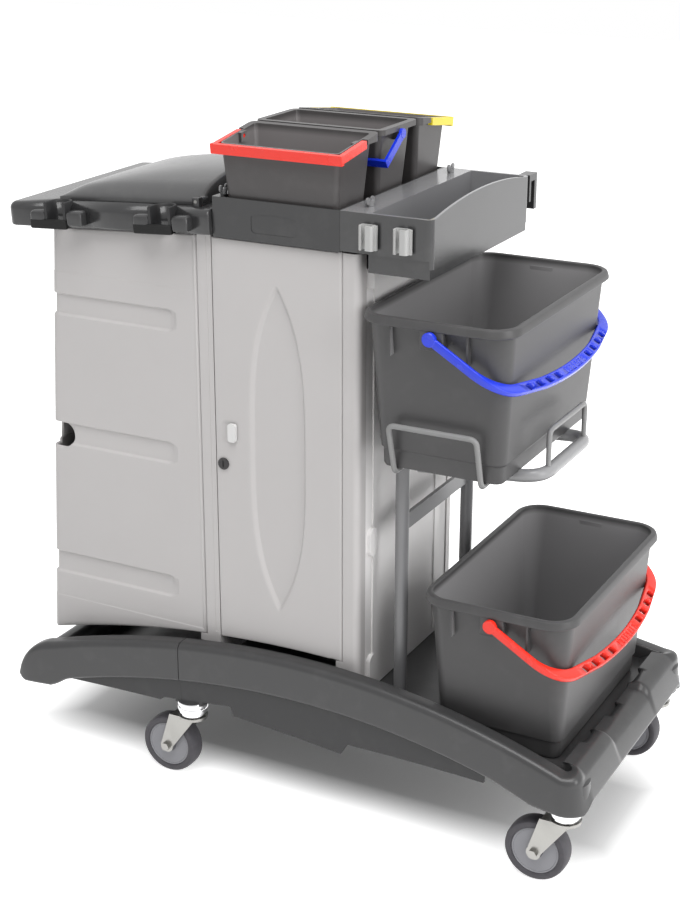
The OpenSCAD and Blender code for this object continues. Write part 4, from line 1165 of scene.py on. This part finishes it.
# Painted light: the bin's inside is painted 6.5 times lighter than the tray plastic outside.
bin_moulding = moulded("bin moulding", (0.032, 0.032, 0.033), 0.20, coat=0.5,
                       hollow=(bin_middle, bin_rim, 6.5))
soften("front_tray", bin_moulding, 0.0026, 4)
soften("tray_hook", tray_moulding, 0.0022, 4)
clip_plastic = moulded("clip plastic", (0.42, 0.42, 0.415), 0.40)
soften("tool_clips", clip_plastic, 0.0007)
screw_plastic = moulded("wing screw plastic", (0.20, 0.20, 0.205), 0.26, coat=0.3)
soften("wing_screws", screw_plastic, 0.0008)


# Cradle: two tube posts on the base with a tie bar, flat bars with a bent tube handle in
# front, and plastic-coated wire loops that hold the upper bucket.
def bent_path(points, radius, steps=8):
    """A run of straight stretches with round bends between them."""
    points = [Vector(p) for p in points]
    path = [points[0]]
    for before, corner, after in zip(points, points[1:], points[2:]):
        into = (corner - before).normalized()
        away = (after - corner).normalized()
        turn = into.angle(away)
        room = 0.45 * min((corner - before).length, (after - corner).length)
        trim = min(radius * math.tan(turn / 2), room)
        start = corner - into * trim
        end = corner + away * trim
        for k in range(steps + 1):
            t = k / steps
            path.append(start * (1 - t) ** 2 + corner * (2 * t * (1 - t)) + end * t * t)
    path.append(points[-1])
    return path


def tube(shape, path, radius, sides=18):
    """A round bar along a path, with a small round at each end."""
    way = (path[1] - path[0]).normalized()
    side = way.orthogonal().normalized()
    rings = []
    for k, point in enumerate(path):
        before = path[max(0, k - 1)]
        after = path[min(len(path) - 1, k + 1)]
        way = (after - before).normalized()
        side = (side - way * side.dot(way)).normalized()
        up = way.cross(side)
        shrink = 0.88 if k in (0, len(path) - 1) else 1.0
        ring = []
        for n in range(sides):
            t = 2 * math.pi * n / sides
            ring.append(tuple(point + (side * math.cos(t) + up * math.sin(t)) * radius * shrink))
        rings.append(ring)
    shape.loft(rings)


post_paint = moulded("grey post paint", (0.19, 0.19, 0.195), 0.34, coat=0.3)
tube_paint = moulded("cradle tube paint", (0.27, 0.27, 0.275), 0.32, coat=0.3)
wire_coat = moulded("coated wire", (0.24, 0.24, 0.24), 0.38)
soften("posts", post_paint, 0.0015)
soften("crossbar", post_paint, 0.0010)
rods_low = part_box("cradle_rods")[0]
wire_radius = 0.004
loop_x = (0.155, 0.287)
loop_y = (0.1285, 0.168, 0.190)
loop_z = (rods_low.z + wire_radius, rods_low.z + 0.0800)
wires = Shape()
side_loop = []
for x, y, z in ((0, 0, 0), (0, 1, 0), (0, 2, 1), (1, 2, 1), (1, 1, 0), (1, 0, 0)):
    side_loop.append((loop_x[x], -loop_y[y], loop_z[z]))
tube(wires, bent_path(side_loop, 0.011), wire_radius)
wires.mirror_y()
handle_at = (0.346, 0.094, rods_low.z + 0.0050)
front_half = 0.070
front_foot = handle_at[2] + 0.0088
front_top = handle_at[2] + 0.061
front_loop = []
for y, z in ((-1, front_foot), (-1, front_top), (1, front_top), (1, front_foot)):
    front_loop.append((handle_at[0], y * front_half, z))
tube(wires, bent_path(front_loop, 0.011), wire_radius)
wires_look = wires.make("cradle wires", wire_coat, 50)
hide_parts("cradle_rods")
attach(wires_look, "cart")
handle = Shape()
handle_back = (0.160, handle_at[1] + 0.004, handle_at[2] - 0.015)
handle_run = [(x, -y, z) for x, y, z in (handle_back, handle_at)] + [handle_at, handle_back]
tube(handle, bent_path(handle_run, 0.036, 12), 0.0095, 24)
bar_low = handle_at[2] - 0.0050
for side in (-1, 1):
    handle.box((0.131, side * 0.116 - 0.012, bar_low), (0.300, side * 0.116 + 0.012, bar_low + 0.008), 0.002)
handle.box((0.131, -0.104, bar_low), (0.155, 0.104, bar_low + 0.008), 0.001)
handle_look = handle.make("cradle handle", tube_paint, 50)
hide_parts("cradle_handle")
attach(handle_look, "cart")


# Large buckets: deep grey plastic buckets with drafted walls on a stepped foot, a rolled
# rim, stiffening webs under it on both sides, and a coloured bail with a slotted grip.
bucket_rim = (0.115, 0.204)
bucket_top = (0.107, 0.196)
bucket_foot = (0.095, 0.168)


def bucket_shell(middle, low_z):
    """One closed skin from the middle of the underside, up the outside, over the rim and down inside."""
    wall = 0.003
    height = 0.230
    foot_high = 0.030
    step = 0.0035
    under = height - 0.013

    def side(z):
        share = max(0.0, z - foot_high) / (height - foot_high)
        return tuple(bucket_foot[i] + (bucket_top[i] - bucket_foot[i]) * share for i in (0, 1))

    def bend(z):
        return 0.016 + 0.018 * max(0.0, z - foot_high) / (height - foot_high)

    def grown(half, by):
        return (half[0] + by, half[1] + by)

    stages = [((0.001, 0.001), 0.0, 0.0005), (grown(bucket_foot, -step - 0.006), 0.0, 0.009),
              (grown(bucket_foot, -step - 0.002), 0.0012, 0.012), (grown(bucket_foot, -step), 0.005, 0.014),
              (grown(bucket_foot, -step + 0.0004), foot_high - 0.0055, 0.014),
              (grown(bucket_foot, -step + 0.0014), foot_high - 0.0022, 0.015),
              (bucket_foot, foot_high, 0.016)]
    for z in spread(foot_high + 0.004, under - 0.004, 12):
        stages.append((side(z), z, bend(z)))
    rim = bucket_rim
    stages += [(grown(side(under), 0.0004), under - 0.0012, 0.035),
               (grown(side(under), 0.0016), under, 0.037), (grown(rim, -0.0012), under + 0.0001, 0.041),
               (rim, under + 0.0014, 0.042), (rim, under + 0.0045, 0.042),
               (grown(rim, -0.0006), under + 0.0062, 0.042), (grown(rim, -0.0008), height - 0.0050, 0.042),
               (grown(rim, -0.0024), height - 0.0016, 0.040), (grown(rim, -0.0052), height, 0.037),
               (grown(bucket_top, -wall + 0.0030), height, 0.034),
               (grown(bucket_top, -wall + 0.0008), height - 0.0012, 0.032),
               (grown(bucket_top, -wall), height - 0.004, 0.031)]
    for z in spread(height - 0.012, foot_high + 0.020, 10):
        stages.append((grown(side(z), -wall), z, bend(z) - 0.003))
    stages += [(grown(bucket_foot, -step - wall), 0.016, 0.012),
               (grown(bucket_foot, -step - wall - 0.006), wall + 0.0025, 0.008),
               (grown(bucket_foot, -step - wall - 0.016), wall, 0.004), ((0.001, 0.001), wall, 0.0005)]
    shell = Shape()
    shell.loft([round_ring(middle, half, max(r, 0.0004), low_z + z, 9) for half, z, r in stages])
    return shell


def web_piece(wide, finish):
    """One upright web under a rim, about its own foot: thin, and no deeper than the wall behind it."""
    web = Shape()
    tall = 0.0435
    ring_low = [(-wide, -0.0118), (wide, -0.0118), (wide, 0.0), (-wide, 0.0)]
    ring_top = [(-wide, -0.0118), (wide, -0.0118), (wide, -0.0052), (-wide, -0.0052)]
    web.loft([[(x, y, 0.0) for x, y in ring_low], [(x, y, tall) for x, y in ring_top]])
    return web.make("web piece", finish, 30)


def large_bucket(name, middle_x, low_z, finish):
    """Shell of one bucket, its webs on both sides and the bosses that carry its bail."""
    shell = bucket_shell((middle_x, 0.0), low_z)
    look = shell.make(name, finish, 34)
    points = [(middle_x + x, -0.1877, low_z + 0.175) for x in (-0.0625, 0.0515)]
    near_webs = set_copies(name + " webs near", web_piece(0.0015, finish), points, finish)
    far_webs = mirrored(name + " webs far", near_webs)
    boss = Shape()
    rings = []
    for inset, z in ((0.0012, 0.1905), (0.0, 0.1920), (0.0, 0.2185)):
        low = (middle_x - 0.018 + inset, -0.2030 + inset)
        high = (middle_x + 0.018 - inset, -0.1905)
        outline = round_outline(low, high, (0.003, 0.003, 0.0005, 0.0005), 4)
        rings.append([(x, y, low_z + z) for x, y in outline])
    boss.loft(rings)
    boss.mirror_y()
    boss_look = boss.make(name + " bosses", finish, 34)
    return look, near_webs, far_webs, boss_look


for level in ("upper", "lower"):
    body = level + "_bucket"
    low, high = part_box(body)
    middle = ((low.x + high.x) / 2, 0.0)
    # Painted light: each large bucket's inside is painted 3.9 times lighter than its outside.
    bucket_grey = moulded(level + " bucket plastic", (0.060, 0.059, 0.060), 0.40,
                          hollow=(middle, high.z, 3.9))
    looks = large_bucket(level + " bucket", middle[0], low.z, bucket_grey)
    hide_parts(body)
    for look in looks:
        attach(look, body)
blue_plastic = moulded("blue plastic", (0.008, 0.034, 0.62), 0.26, coat=0.3)
red_plastic = moulded("red plastic", (0.82, 0.022, 0.008), 0.26, coat=0.25)
yellow_plastic = moulded("yellow plastic", (0.80, 0.64, 0.025), 0.28, coat=0.2)
bail_reach = 0.1570
bail_bow = 0.75
bail_side = 0.2110
bail_droop = 31.0


def bail_front(y):
    """How far forward the bowed grip reaches at one place across."""
    return bail_reach - y * y / (2 * bail_bow)


def bail_path():
    """Outer edge of a bail in its own plane, from the near pivot round the front to the far one."""
    front = [(bail_front(y), y, 0.0) for y in spread(-0.100, 0.100, 9)]
    corner_reach = bail_front(bail_side)
    near = [(0.003, -bail_side, 0.0), (corner_reach, -bail_side, 0.0)]
    far = [(corner_reach, bail_side, 0.0), (0.003, bail_side, 0.0)]
    return bent_path(near + front + far, 0.062, 14)


def large_bail(name, pivot, finish):
    """A bail: thin deep arms that turn into a broad flat grip with a row of slots."""
    path = bail_path()
    bail = Shape()
    rings = []
    for k, point in enumerate(path):
        way = (path[min(len(path) - 1, k + 1)] - path[max(0, k - 1)]).normalized()
        inward = Vector((-way.y, way.x, 0.0))
        grip = ramp(point.x, 0.070, 0.125)
        width = 0.0055 + 0.0120 * grip
        deep = 0.0130 - 0.0040 * grip
        ring = []
        for across, up in round_outline((0.0, -deep / 2), (width, deep / 2), (0.0022,) * 4, 4):
            ring.append(tuple(point + inward * across + Vector((0, 0, up))))
        rings.append(ring)
    bail.loft(rings)
    look = bail.make(name, finish, 34)
    slots = Shape()
    spots = [(side * (0.058 + 0.027 * k), 0.0080) for side in (-1, 1) for k in range(4)]
    spots += [(y, 0.0019) for y in spread(-0.0315, 0.0315, 8)]
    for y, half in spots:
        middle = bail_front(y) - 0.0087
        low = (middle - 0.0054, y - half, -0.02)
        high = (middle + 0.0054, y + half, 0.02)
        slots.box(low, high, min(half, 0.0030) - 0.0001)
    carve(look, slots.make("bail slots", finish))
    hubs = Shape()
    for side in (-1, 1):
        hub = [(0.0088, -0.0034), (0.0100, -0.0024), (0.0100, 0.0024), (0.0088, 0.0034)]
        rolled(hubs, (0.0, side * (bail_side - 0.0028), 0.0), hub, 40)
        rolled(hubs, (0.0, side * (bail_side - 0.0115), 0.0), [(0.0039, -0.0055), (0.0039, 0.0055)], 24)
    hubs_look = hubs.make(name + " hubs", finish, 34)
    place = Matrix.Translation(pivot) @ Matrix.Rotation(math.radians(bail_droop), 4, "Y")
    for piece in (look, hubs_look):
        piece.data.transform(place)
    return look, hubs_look


for level, finish, slot in (("upper", blue_plastic, "blue_plastic"), ("lower", red_plastic, "red_plastic")):
    low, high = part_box(level + "_bucket")
    pivot = ((low.x + high.x) / 2, 0.0, low.z + 0.2080)
    looks = large_bail(level + " bail", pivot, finish)
    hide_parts(level + "_bail")
    for look in looks:
        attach(look, level + "_bail")


# Small buckets: three grey moulded buckets that stand loose, side by side, in the middle tray,
# each with a flat rim and a bail in its own colour on two pins.
for place, finish in (("near", red_plastic), ("mid", blue_plastic), ("far", yellow_plastic)):
    low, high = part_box("small_bucket_" + place)
    middle = (low + high) / 2
    # Painted light: each small bucket's inside is painted 2.9 times lighter than its outside.
    small_grey = moulded(place + " bucket plastic", (0.062, 0.058, 0.058), 0.34, hollow=(middle, high.z, 2.9))
    soften("small_bucket_" + place, small_grey, 0.0014, 4)
    soften("small_bail_" + place, finish, 0.0014, 4)
